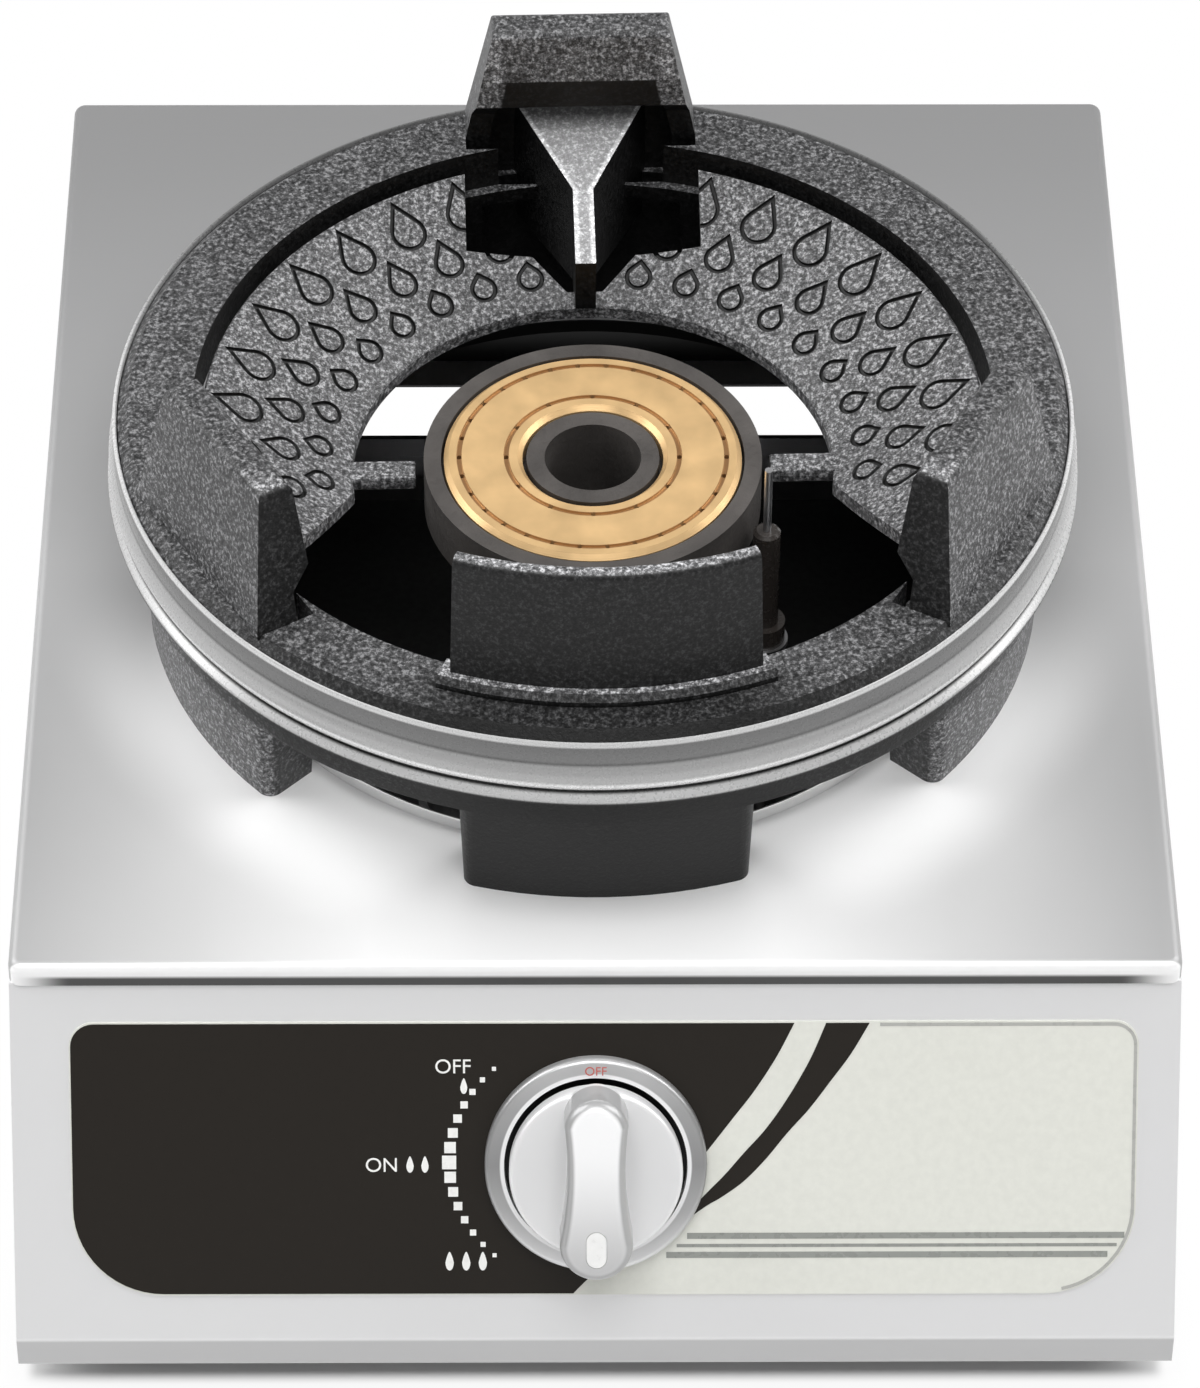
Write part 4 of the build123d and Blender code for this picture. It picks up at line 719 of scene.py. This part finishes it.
def machined(name, colour, low, high):
    """Turned metal: fine rings about the burner axis with slight stains, scorched at the port circles."""
    tree = MaterialTree(name, Metallic=0.55)
    place = tree.mapped(Location=(-BURNER_X, -BURNER_Y, 0))
    wave = tree.add("ShaderNodeTexWave", wave_type="RINGS", rings_direction="Z", Scale=700.0, Distortion=0.6)
    tree.link(place, wave.inputs["Vector"])
    stain = tree.noise(tree.place(), 90.0, 3.0)
    x, y, z = tree.split(place)
    radius = tree.length(x, y)
    ports = [tree.within(radius, ring - PORT_HALF, ring + PORT_HALF, PORT_HALF) for ring in PORT_CIRCLES]
    tree.colour(tree.blend(tree.most(*ports), tree.clouded(stain, colour, 0.86, 1.06), SCORCH))
    tree.rough(stain, low, high)
    tree.bump(wave.outputs["Fac"], 0.05, 0.0001)
    return tree.material


def plain_metal(name, colour, low=0.3, high=0.45):
    tree = MaterialTree(name, Metallic=1.0)
    cloud = tree.noise(tree.place(), 120.0, 3.0)
    tree.colour(tree.clouded(cloud, colour, 0.9, 1.05))
    tree.rough(cloud, low, high)
    return tree.material


def moulded(name, colour, low, high, coat=0.0, gloss=0.5):
    tree = MaterialTree(name, Coat_Weight=coat, Specular_IOR_Level=gloss)
    grain = tree.noise(tree.place(), 500.0)
    tree.colour(tree.clouded(grain, colour, 0.97, 1.02))
    tree.rough(grain, low, high)
    tree.bump(grain, 0.04, 0.0001)
    return tree.material


def finish(name):
    """The material of this name, made the first time that it is asked for."""
    made = "finish_" + name
    found = bpy.data.materials.get(made)
    if found:
        return found
    tints = colours()
    makers = {
        "satin_steel": (satin_sheet, tints.steel),
        "front_steel": (front_sheet, tints.steel),
        "panel_steel": (graded_sheet, tints.panel_rear, tints.panel_side, tints.panel_glow),
        "speckled_enamel": (support_enamel,),
        # bowl_enamel is a paler copy of the casting's enamel; enamel_groove is a near-black copy, painted shade in
        # the drop grooves.
        "bowl_enamel": (speckled_enamel, 1.85),
        "enamel_groove": (speckled_enamel, 0.06),
        "polished_steel": (banded_trim,),
        "burner_iron": (bare_casting, (0.066, 0.060, 0.056), 0.3),
        "tube_iron": (bare_casting, (0.07, 0.07, 0.07), 0.6),
        "cap_brass": (machined, tints.brass, 0.3, 0.42),
        "tap_brass": (plain_metal, (0.62, 0.42, 0.19)),
        "plain_steel": (plain_metal, (0.50, 0.50, 0.51)),
        "pipe_steel": (plain_metal, (0.58, 0.58, 0.59), 0.2, 0.3),
        "knob_silver": (knob_silver, tints.silver),
        "bezel_silver": (bezel_silver, tints.silver),
        "white_plastic": (moulded, (0.85, 0.85, 0.84), 0.25, 0.35),
        "dark_ceramic": (moulded, (0.035, 0.030, 0.027), 0.2, 0.3, 0.3),
        # black_sheet: the near-black of the bottom plate is painted shade inside the housing.
        "black_sheet": (moulded, (0.006, 0.006, 0.006), 0.6, 0.75),
        "igniter_plastic": (moulded, (0.012, 0.012, 0.013), 0.4, 0.55),
        "lead_rubber": (moulded, (0.014, 0.013, 0.013), 0.4, 0.55),
        "foot_rubber": (moulded, (0.012, 0.012, 0.012), 0.6, 0.75),
        "printed_inlay": (moulded, tints.print_pale, 0.3, 0.36, 0.0, 0.3),
        "print_dark": (moulded, tints.print_dark, 0.3, 0.36, 0.0, 0.2),
        "print_line": (moulded, tints.print_line, 0.25, 0.32),
        # The grey line here is a painted shadow along the inlay's top and right edges.
        "painted_edge_shadow": (moulded, (0.42, 0.42, 0.40), 0.25, 0.32),
        "print_white": (moulded, (0.86, 0.86, 0.84), 0.25, 0.32),
        "print_red": (moulded, (0.55, 0.12, 0.10), 0.25, 0.32),
    }
    maker, *values = makers[name]
    return maker(made, *values)


NODE_FINISHES = {
    "top_panel": "panel_steel",
    "front_panel": "front_steel",
    "knob": "knob_silver",
    "knob_bezel": "bezel_silver",
}


class STOVE_OT_finishes(bpy.types.Operator):
    """Gives every carried-over CAD node the finish that the record names for it"""

    bl_idname = "stove.finishes"
    bl_label = "CAD finishes"

    def execute(self, context):
        for row in frame["record"]["subparts"]:
            node = frame["nodes"].get(row["node"])
            if node is None:
                raise RuntimeError("no node " + row["node"])
            material = finish(NODE_FINISHES.get(row["node"], row["material_slot"]))
            for slot in node.material_slots:
                slot.material = material
            if not node.material_slots:
                raise RuntimeError("no slot on " + row["node"])
        return {"FINISHED"}


DROP_ROWS = ((0.0938, 0.0824, 0.0086, -0.17), (0.0817, 0.0729, 0.0070, 0.43), (0.0714, 0.0650, 0.0060, 0.0))
DROPS_IN_ROW = 8
DROP_STEPS = 22
GROOVE_SIDES = 6
GROOVE_SUNK = 0.0002
MOUTH_REAR = -0.0057
MOUTH_FRONT = -0.1100
NOTCH_HALF = 0.0300
NOTCH_THROAT = 0.0132
NOTCH_SLIT = 0.0046
NOTCH_SHARE = 0.335
LIP_LAP = 0.0015
CUT_SPARE = 0.02


def rectangle(left, low, right, high):
    return [(left, low), (right, low), (right, high), (left, high)]


def drop_groove(name, length, width, radius):
    """One drop-shaped ring, its point along +x: a round end with straight sides that meet in the point."""
    deselect()
    bpy.ops.mesh.primitive_torus_add(major_segments=DROP_STEPS, minor_segments=GROOVE_SIDES,
                                     major_radius=width / 2, minor_radius=radius)
    ring = name_new(name)
    half = width / 2
    tip = length - half
    start = math.acos(half / tip)
    for index, vertex in enumerate(ring.data.vertices):
        place, side = divmod(index, GROOVE_SIDES)
        around = FULL_TURN * side / GROOVE_SIDES
        angle = start + (FULL_TURN - 2 * start) * (place - 1) / (DROP_STEPS - 2)
        middle, away = half, radius * math.cos(around)
        if place == 0:
            angle, middle, away = 0.0, tip, away * tip / half
        reach = middle + away
        vertex.co = (reach * math.cos(angle), reach * math.sin(angle), radius * math.sin(around))
    return ring


def prism(name, points, low, high):
    """An upright block from an outline about the burner axis, turned with the pot support."""
    place = Matrix.Translation((BURNER_X, BURNER_Y, low)) @ Matrix.Rotation(SUPPORT_TURN, 4, "Z")
    return draw_out(name, [place @ Vector((x, y, 0)) for x, y in points], high - low)


class STOVE_OT_flame_bowl(bpy.types.Operator):
    """Turns the flame bowl, opens its front, notches its rear and presses rows of drops into its slope"""

    bl_idname = "stove.flame_bowl"
    bl_label = "Flame bowl"

    def execute(self, context):
        size = sizes()
        rim_z = BOWL_HIGH.z
        lip_z = BOWL_LOW.z + size.bowl_wall
        profile = [
            (size.bowl_lip, lip_z - size.bowl_wall),
            (size.bowl_lip, lip_z - 0.0006),
            (size.bowl_lip + 0.0008, lip_z + 0.0004),
            (size.bowl_rim_inner - 0.0006, rim_z - 0.0003),
            (size.bowl_rim_inner + 0.0002, rim_z),
            (size.bowl_rim - 0.0005, rim_z),
            (size.bowl_rim, rim_z - 0.0005),
            (size.bowl_rim, rim_z - size.bowl_wall),
            (size.bowl_rim_inner, rim_z - size.bowl_wall),
        ]
        bowl = spin_profile("flame_bowl_pressed", profile, 180)
        set_material(bowl, finish("bowl_enamel"))
        self.carve(bowl, self.drops(size, rim_z, lip_z))
        self.carve(bowl, self.mouth(size, lip_z, rim_z))
        self.carve(bowl, self.notch(size, lip_z, rim_z))
        for side in (-1, 1):
            self.add_arm(bowl, size, side, lip_z)
        smooth(bowl, 35)
        apply_place(bowl)
        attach(bowl, "pot_support")
        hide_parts("flame_bowl")
        return {"FINISHED"}

    def add_arm(self, bowl, size, side, lip_z):
        """Joins one of the two arms that reach from the lip towards the burner."""
        half = size.arm_width / 2
        outline = rectangle(side * size.arm_end, -half, side * (size.bowl_lip + LIP_LAP), half)
        arm = prism("bowl_arm", outline, lip_z - size.bowl_wall, lip_z)
        set_material(arm, finish("bowl_enamel"))
        apply_modifier(arm, "BEVEL", width=0.0006, segments=2)
        apply_modifier(bowl, "BOOLEAN", operation="UNION", object=arm, solver="EXACT")
        bpy.data.objects.remove(arm)

    def carve(self, bowl, cutter):
        apply_modifier(bowl, "BOOLEAN", operation="DIFFERENCE", object=cutter, solver="EXACT",
                       material_mode="TRANSFER")
        bpy.data.objects.remove(cutter)
        if len(bowl.data.polygons) < 100:
            raise RuntimeError("the bowl was lost in a cut")

    def drops(self, size, rim_z, lip_z):
        """Every groove of the pressed drops, joined as one cutter."""
        slope = (rim_z - lip_z) / (size.bowl_rim_inner - size.bowl_lip)
        lean = math.atan(slope)
        grooves = []
        for tip, end, width, shift in DROP_ROWS:
            length = (tip - end) / math.cos(lean)
            model = drop_groove("drop", length, width, size.groove)
            set_material(model, finish("enamel_groove"))
            radius = end + width / 2 * math.cos(lean)
            height = lip_z + (radius - size.bowl_lip) * slope
            for step in range(-1, DROPS_IN_ROW):
                turn = size.drop_start + (step + shift) * size.drop_pitch
                for side in (-1, 1):
                    angle = math.pi / 2 + SUPPORT_TURN + side * turn
                    copy = model.copy()
                    copy.data = model.data.copy()
                    bpy.context.collection.objects.link(copy)
                    copy.matrix_world = (
                        Matrix.Translation((BURNER_X, BURNER_Y, height - GROOVE_SUNK))
                        @ Matrix.Rotation(angle, 4, "Z")
                        @ Matrix.Translation((radius, 0, 0))
                        @ Matrix.Rotation(-lean, 4, "Y")
                    )
                    grooves.append(copy)
            bpy.data.objects.remove(model)
        cutter = join(grooves, "drop_cutter")
        apply_place(cutter)
        return cutter

    def mouth(self, size, low, high):
        """The wedge that opens the bowl towards the front."""
        near = size.bowl_lip - LIP_LAP
        far = size.bowl_rim + 0.0088
        outline = [(-near, MOUTH_REAR), (-far, MOUTH_FRONT), (far, MOUTH_FRONT), (near, MOUTH_REAR)]
        cutter = prism("mouth_cutter", outline, low - CUT_SPARE, high + CUT_SPARE)
        set_material(cutter, finish("bowl_enamel"))
        return cutter

    def notch(self, size, low, high):
        """The opening for the rear claw, narrowing to a slit beside its rib."""
        reach = size.bowl_rim + 0.0030
        inner = size.bowl_lip + NOTCH_SHARE * (size.bowl_rim_inner - size.bowl_lip)
        bridge = size.bowl_lip + size.bowl_bridge
        right = [(NOTCH_HALF, reach), (NOTCH_HALF, inner), (NOTCH_THROAT, inner), (NOTCH_SLIT, bridge)]
        left = [(-x, y) for x, y in reversed(right)]
        cutter = prism("notch_cutter", right + left, low - CUT_SPARE, high + CUT_SPARE)
        set_material(cutter, finish("bowl_enamel"))
        return cutter


ROLL_STEPS = 8


class STOVE_OT_trim_ring(bpy.types.Operator):
    """Rolls the polished band round the casting's waist"""

    bl_idname = "stove.trim_ring"
    bl_label = "Trim ring"

    def execute(self, context):
        low, top = TRIM_LOW.z, TRIM_HIGH.z
        inner = 0.1173
        outer = inner + 0.001
        bulge = 0.0014
        lip = 0.0018
        edge = 0.0004
        profile = [(inner, low), (inner, top - edge), (inner + 0.0003, top), (outer - 0.0003, top),
                   (outer, top - edge), (outer, top - 0.0068)]
        bulge_top = top - 0.0075
        bulge_height = 0.008
        for step in range(ROLL_STEPS + 1):
            share = step / ROLL_STEPS
            profile.append((outer + bulge * math.sin(math.pi * share), bulge_top - bulge_height * share))
        profile += [(outer + bulge, low + 0.0022), (outer + lip, low + lip),
                    (outer + lip, low + edge), (outer + bulge, low)]
        ring = spin_profile("trim_ring_rolled", profile, 256)
        smooth(ring, 40)
        settle(ring, "pot_support", "polished_steel", finish("polished_steel"), "trim_ring")
        return {"FINISHED"}


def rounded_corner(centre, radius, start, end, steps):
    points = []
    for step in range(steps + 1):
        angle = math.radians(start + (end - start) * step / steps)
        points.append((centre[0] + radius * math.cos(angle), centre[1] + radius * math.sin(angle)))
    return points


def ink(obj, name):
    settle(obj, "housing", "printed_inlay", finish(name))


def curve_points(points, steps=6):
    """A smooth line through a few points, by uniform Catmull-Rom pieces."""
    line = []
    padded = [points[0]] + list(points) + [points[-1]]
    for index in range(1, len(padded) - 2):
        a, b, c, d = (Vector(padded[index + k]) for k in (-1, 0, 1, 2))
        for step in range(steps):
            t = step / steps
            p = 0.5 * ((2 * b) + (c - a) * t + (2 * a - 5 * b + 4 * c - d) * t ** 2
                       + (3 * b - a - 3 * c + d) * t ** 3)
            line.append((p.x, p.y))
    line.append(tuple(points[-1]))
    return line


INLAY_THICK = 0.0006
PRINT_LEFT = FASCIA_LOW.x / MM + 0.35
PRINT_RIGHT = FASCIA_HIGH.x / MM - 0.35
PRINT_TOP = 34.6
PRINT_LOW = -33.05
BIG_CORNER = 21.6
SMALL_CORNER = 5.6
# Where the painted edge shadow starts, and its width.
EDGE_SHADOW_START = 68.0
EDGE_SHADOW_WIDTH = 0.8
BEZEL_HOLE = 0.0225
FIELD_EDGE = [(47.5, 34.6), (43.4, 26.4), (38.2, 18.0), (33.0, 11.0), (27.0, 3.0), (18.0, -9.0), (9.0, -19.5),
              (-1.4, -29.0), (-5.4, -33.1)]
STRIPE_LEFT = [(55.1, 34.6), (51.2, 25.3), (46.0, 15.9), (40.8, 8.2), (35.6, 2.2), (31.0, -3.3), (27.3, -7.2),
               (20.0, -15.0)]
STRIPE_RIGHT = [(65.5, 34.6), (61.1, 26.9), (56.4, 20.3), (51.2, 13.2), (46.0, 7.2), (40.8, 0.6),
                (35.6, -4.9), (30.4, -8.8), (26.8, -11.0), (20.4, -15.6)]
LINES = [(22.0, -19.4, 127.4, -17.9), (19.5, -21.5, 125.6, -20.7), (17.0, -24.2, 123.4, -22.7)]


class STOVE_OT_control_print(bpy.types.Operator):
    """Prints the dark field, the swept stripe and the thin lines on the inlay, and paints a shadow line along its
    top and right edges
    """

    bl_idname = "stove.control_print"
    bl_label = "Control print"

    def execute(self, context):
        lift = INLAY_THICK
        thick = sizes().print_lift
        lower = (PRINT_LEFT + BIG_CORNER, PRINT_LOW + BIG_CORNER)
        upper = (PRINT_LEFT + SMALL_CORNER, PRINT_TOP - SMALL_CORNER)
        field = curve_points(FIELD_EDGE)
        field += rounded_corner(lower, BIG_CORNER, 270, 180, 14)
        field += rounded_corner(upper, SMALL_CORNER, 180, 90, 8)
        dark = self.cut_round(flat_print("dark_field", field, lift, thick))
        ink(dark, "print_dark")
        stripe = curve_points(STRIPE_LEFT) + list(reversed(curve_points(STRIPE_RIGHT)))
        swept = self.cut_round(flat_print("swept_stripe", stripe, lift, thick))
        ink(swept, "print_dark")
        lines = [flat_print("thin_line", rectangle(*line), lift, thick) for line in LINES]
        ink(self.cut_round(join(lines, "thin_lines")), "print_line")
        outer = self.edge_shadow_line(0.0)
        inner = self.edge_shadow_line(EDGE_SHADOW_WIDTH)
        edge_shadow = flat_print("inlay_edge_shadow", outer + list(reversed(inner)), lift, thick)
        ink(edge_shadow, "painted_edge_shadow")
        return {"FINISHED"}

    def edge_shadow_line(self, inset):
        """The painted shadow line along the inlay's top, right side and lower right corner, set in by a little."""
        top = PRINT_TOP - inset
        upper = (PRINT_RIGHT - SMALL_CORNER, PRINT_TOP - SMALL_CORNER)
        lower = (PRINT_RIGHT - BIG_CORNER, PRINT_LOW + BIG_CORNER)
        line = [(EDGE_SHADOW_START, top), (upper[0] - inset, top)]
        line += rounded_corner(upper, SMALL_CORNER - inset, 90, 0, 8)[1:]
        line += rounded_corner(lower, BIG_CORNER - inset, 0, -78, 14)
        return line

    def cut_round(self, obj):
        """Opens the print where the bezel stands."""
        deselect()
        bpy.ops.mesh.primitive_cylinder_add(vertices=64, radius=BEZEL_HOLE, depth=CUT_SPARE)
        cutter = name_new("bezel_cutter")
        cutter.matrix_world = dial_matrix(0.0)
        apply_place(cutter)
        apply_modifier(obj, "BOOLEAN", operation="DIFFERENCE", object=cutter, solver="EXACT")
        bpy.data.objects.remove(cutter)
        return obj


CAPITAL_SHARE = 0.72
SCALE_RADIUS = 35.2
SCALE_STEP = 6.6
SCALE_SQUASH = 0.92
DOTS_EACH_WAY = 7
FLAMES = (
    (-31.6, 18.8, 4.0), (-44.6, -0.8, 4.2), (-41.0, -0.8, 4.2),
    (-35.2, -25.2, 4.8), (-31.2, -25.2, 4.8), (-27.2, -25.2, 4.8),
)
FLAME_STEPS = 16
FLAME_SHARE = 0.42


def dial_word(name, text, place, height, lift):
    deselect()
    bpy.ops.object.text_add()
    word = bpy.context.object
    word.data.body = text
    word.data.size = height * MM / CAPITAL_SHARE
    word.data.extrude = sizes().print_lift
    word.data.align_x = "CENTER"
    word.data.align_y = "CENTER"
    activate(word)
    bpy.ops.object.convert(target="MESH")
    word = name_new(name)
    word.matrix_world = dial_matrix(lift) @ Matrix.Translation((place[0] * MM, place[1] * MM, 0))
    apply_place(word)
    return word


def flame_mark(across, up, height):
    """The outline of a small flame, a drop standing on its round end."""
    points = []
    scale = height * FLAME_SHARE
    for step in range(FLAME_STEPS):
        angle = FULL_TURN * step / FLAME_STEPS
        x = math.sin(angle) * (0.5 - 0.24 * max(0.0, math.cos(angle)))
        y = math.cos(angle) * (1.0 if math.cos(angle) < 0 else 1.35)
        points.append((across + x * scale, up + y * scale))
    return points


class STOVE_OT_dial_marks(bpy.types.Operator):
    """Prints the dial's dots, flames and plain words round the knob"""

    bl_idname = "stove.dial_marks"
    bl_label = "Dial marks"

    def execute(self, context):
        thick = sizes().print_lift
        lift = INLAY_THICK + thick
        marks = []
        for step in range(-DOTS_EACH_WAY, DOTS_EACH_WAY + 1):
            angle = math.radians(180 + step * SCALE_STEP)
            half = 1.7 - 1.2 * (abs(step) / DOTS_EACH_WAY) ** 0.7
            x = SCALE_RADIUS * math.cos(angle)
            y = SCALE_RADIUS * math.sin(angle) * SCALE_SQUASH
            marks.append(flat_print("dot", rectangle(x - half, y - half, x + half, y + half), lift, thick))
        for flame in FLAMES:
            marks.append(flat_print("flame", flame_mark(*flame), lift, thick))
        marks.append(dial_word("off_word", "OFF", (-34.2, 23.8), 3.6, lift))
        marks.append(dial_word("on_word", "ON", (-51.4, -0.8), 3.6, lift))
        ink(join(marks, "dial_marks"), "print_white")
        word = dial_word("bezel_word", "OFF", (0, 23.6), 2.2, INLAY_THICK + 0.0036)
        settle(word, "housing", "silver_plastic", finish("print_red"))
        return {"FINISHED"}


class STOVE_OT_stage(bpy.types.Operator):
    """Sets the pale floor, the soft light and the camera of the photograph"""

    bl_idname = "stove.stage"
    bl_label = "Stage"

    def execute(self, context):
        self.floor()
        self.world(context.scene)
        self.lamps()
        self.camera(context.scene)
        context.scene.view_settings.view_transform = "Standard"
        return {"FINISHED"}

    def floor(self):
        deselect()
        bpy.ops.mesh.primitive_plane_add(size=12.0)
        floor = name_new("studio_floor")
        tree = MaterialTree("studio_paper", Base_Color=(0.80, 0.80, 0.80), Roughness=0.9)
        glow = tree.add("ShaderNodeEmission", Strength=1.0)
        path = tree.add("ShaderNodeLightPath")
        seen = tree.most(path.outputs["Is Camera Ray"], path.outputs["Is Glossy Ray"])
        x, y, z = tree.about((0, 0, 0))
        fade = tree.math("ADD", tree.product(tree.share(y, -0.16, 0.05), 0.08), 0.92)
        under = tree.product(tree.within(y, FRONT_LOW.y + 0.0072, FRONT_LOW.y + 0.04, 0.005),
                             tree.span(tree.math("ABSOLUTE", x), FRONT_HIGH.x, FRONT_HIGH.x - 0.004))
        tree.mix_shaders(tree.product(seen, fade, tree.math("SUBTRACT", 1.0, under)),
                         tree.shader.outputs["BSDF"], glow.outputs["Emission"], tree.nodes["Material Output"])
        set_material(floor, tree.material)

    def world(self, scene):
        """A studio sky: bright overhead and at the sides, a card low in front, dim elsewhere."""
        stage = scene.stove_stage
        scene.world = bpy.data.worlds.new("studio_world")
        tree = Tree(scene.world)
        tree.nodes.clear()
        x, y, z = tree.split(tree.add("ShaderNodeTexCoord").outputs["Generated"])
        over = tree.step(z, 0.62, 0.85, 0.0, stage.over_light)
        level = tree.step(y, -0.2, 0.2, 0.12, stage.rear_light)
        card = tree.product(tree.span(z, -0.05, 0.06), tree.span(z, 0.60, 0.45),
                            tree.step(y, -0.75, -0.5, stage.front_light, 0.0))
        studio = tree.add("ShaderNodeBackground")
        tree.link(tree.most(over, level, card), studio.inputs["Strength"])
        white = tree.add("ShaderNodeBackground")
        path = tree.add("ShaderNodeLightPath")
        tree.mix_shaders(path.outputs["Is Camera Ray"], studio.outputs["Background"],
                         white.outputs["Background"], tree.add("ShaderNodeOutputWorld"))

    def lamps(self):
        for name, place, size, power in (
            ("over_box", (0.0, -0.50, 1.5), 0.9, 12.5),
            ("left_box", (-0.95, 0.3, 0.95), 1.0, 13.0),
            ("right_box", (0.95, 0.3, 0.95), 1.0, 13.0),
        ):
            deselect()
            bpy.ops.object.light_add(type="AREA", location=place)
            lamp = bpy.context.object
            lamp.name = name
            lamp.data.size = size
            lamp.data.energy = power
            aim = Vector((0, BURNER_Y, 0.1)) - Vector(place)
            lamp.rotation_mode = "QUATERNION"
            lamp.rotation_quaternion = aim.to_track_quat("-Z", "Y")

    def camera(self, scene):
        stage = scene.stove_stage
        deselect()
        bpy.ops.object.camera_add(location=stage.camera_place)
        camera = bpy.context.object
        camera.name = "photo_camera"
        camera.data.lens = stage.lens
        camera.data.sensor_width = 36.0
        camera.data.clip_end = 50.0
        aim = Vector(stage.camera_aim).to_track_quat("-Z", "Y").to_matrix().to_4x4()
        camera.rotation_mode = "QUATERNION"
        camera.rotation_quaternion = (aim @ Matrix.Rotation(stage.camera_roll, 4, "Z")).to_quaternion()
        scene.camera = camera


class STOVE_PT_panel(bpy.types.Panel):
    """Lists the pieces of the stove"""

    bl_label = "Gas stove"
    bl_idname = "STOVE_PT_panel"
    bl_space_type = "VIEW_3D"
    bl_region_type = "UI"
    bl_category = "Stove"

    def draw(self, context):
        for operator in OPERATORS:
            self.layout.operator(operator.bl_idname)
        for group in (context.scene.stove_sizes, context.scene.stove_colours, context.scene.stove_stage):
            for key in group.__annotations__:
                self.layout.prop(group, key)


GROUPS = (StoveSizes, StoveColours, StoveStage)
OPERATORS = (
    STOVE_OT_finishes,
    STOVE_OT_flame_bowl,
    STOVE_OT_trim_ring,
    STOVE_OT_control_print,
    STOVE_OT_dial_marks,
    STOVE_OT_stage,
)


def register():
    for cls in GROUPS + OPERATORS + (STOVE_PT_panel,):
        bpy.utils.register_class(cls)
    bpy.types.Scene.stove_sizes = PointerProperty(type=StoveSizes)
    bpy.types.Scene.stove_colours = PointerProperty(type=StoveColours)
    bpy.types.Scene.stove_stage = PointerProperty(type=StoveStage)


def unregister():
    del bpy.types.Scene.stove_stage
    del bpy.types.Scene.stove_colours
    del bpy.types.Scene.stove_sizes
    for cls in reversed(GROUPS + OPERATORS + (STOVE_PT_panel,)):
        bpy.utils.unregister_class(cls)


def main():
    register()
    bpy.ops.stove.finishes()
    bpy.ops.stove.flame_bowl()
    bpy.ops.stove.trim_ring()
    bpy.ops.stove.control_print()
    bpy.ops.stove.dial_marks()
    bpy.ops.stove.stage()
    deselect()


if __name__ == "__main__":
    main()
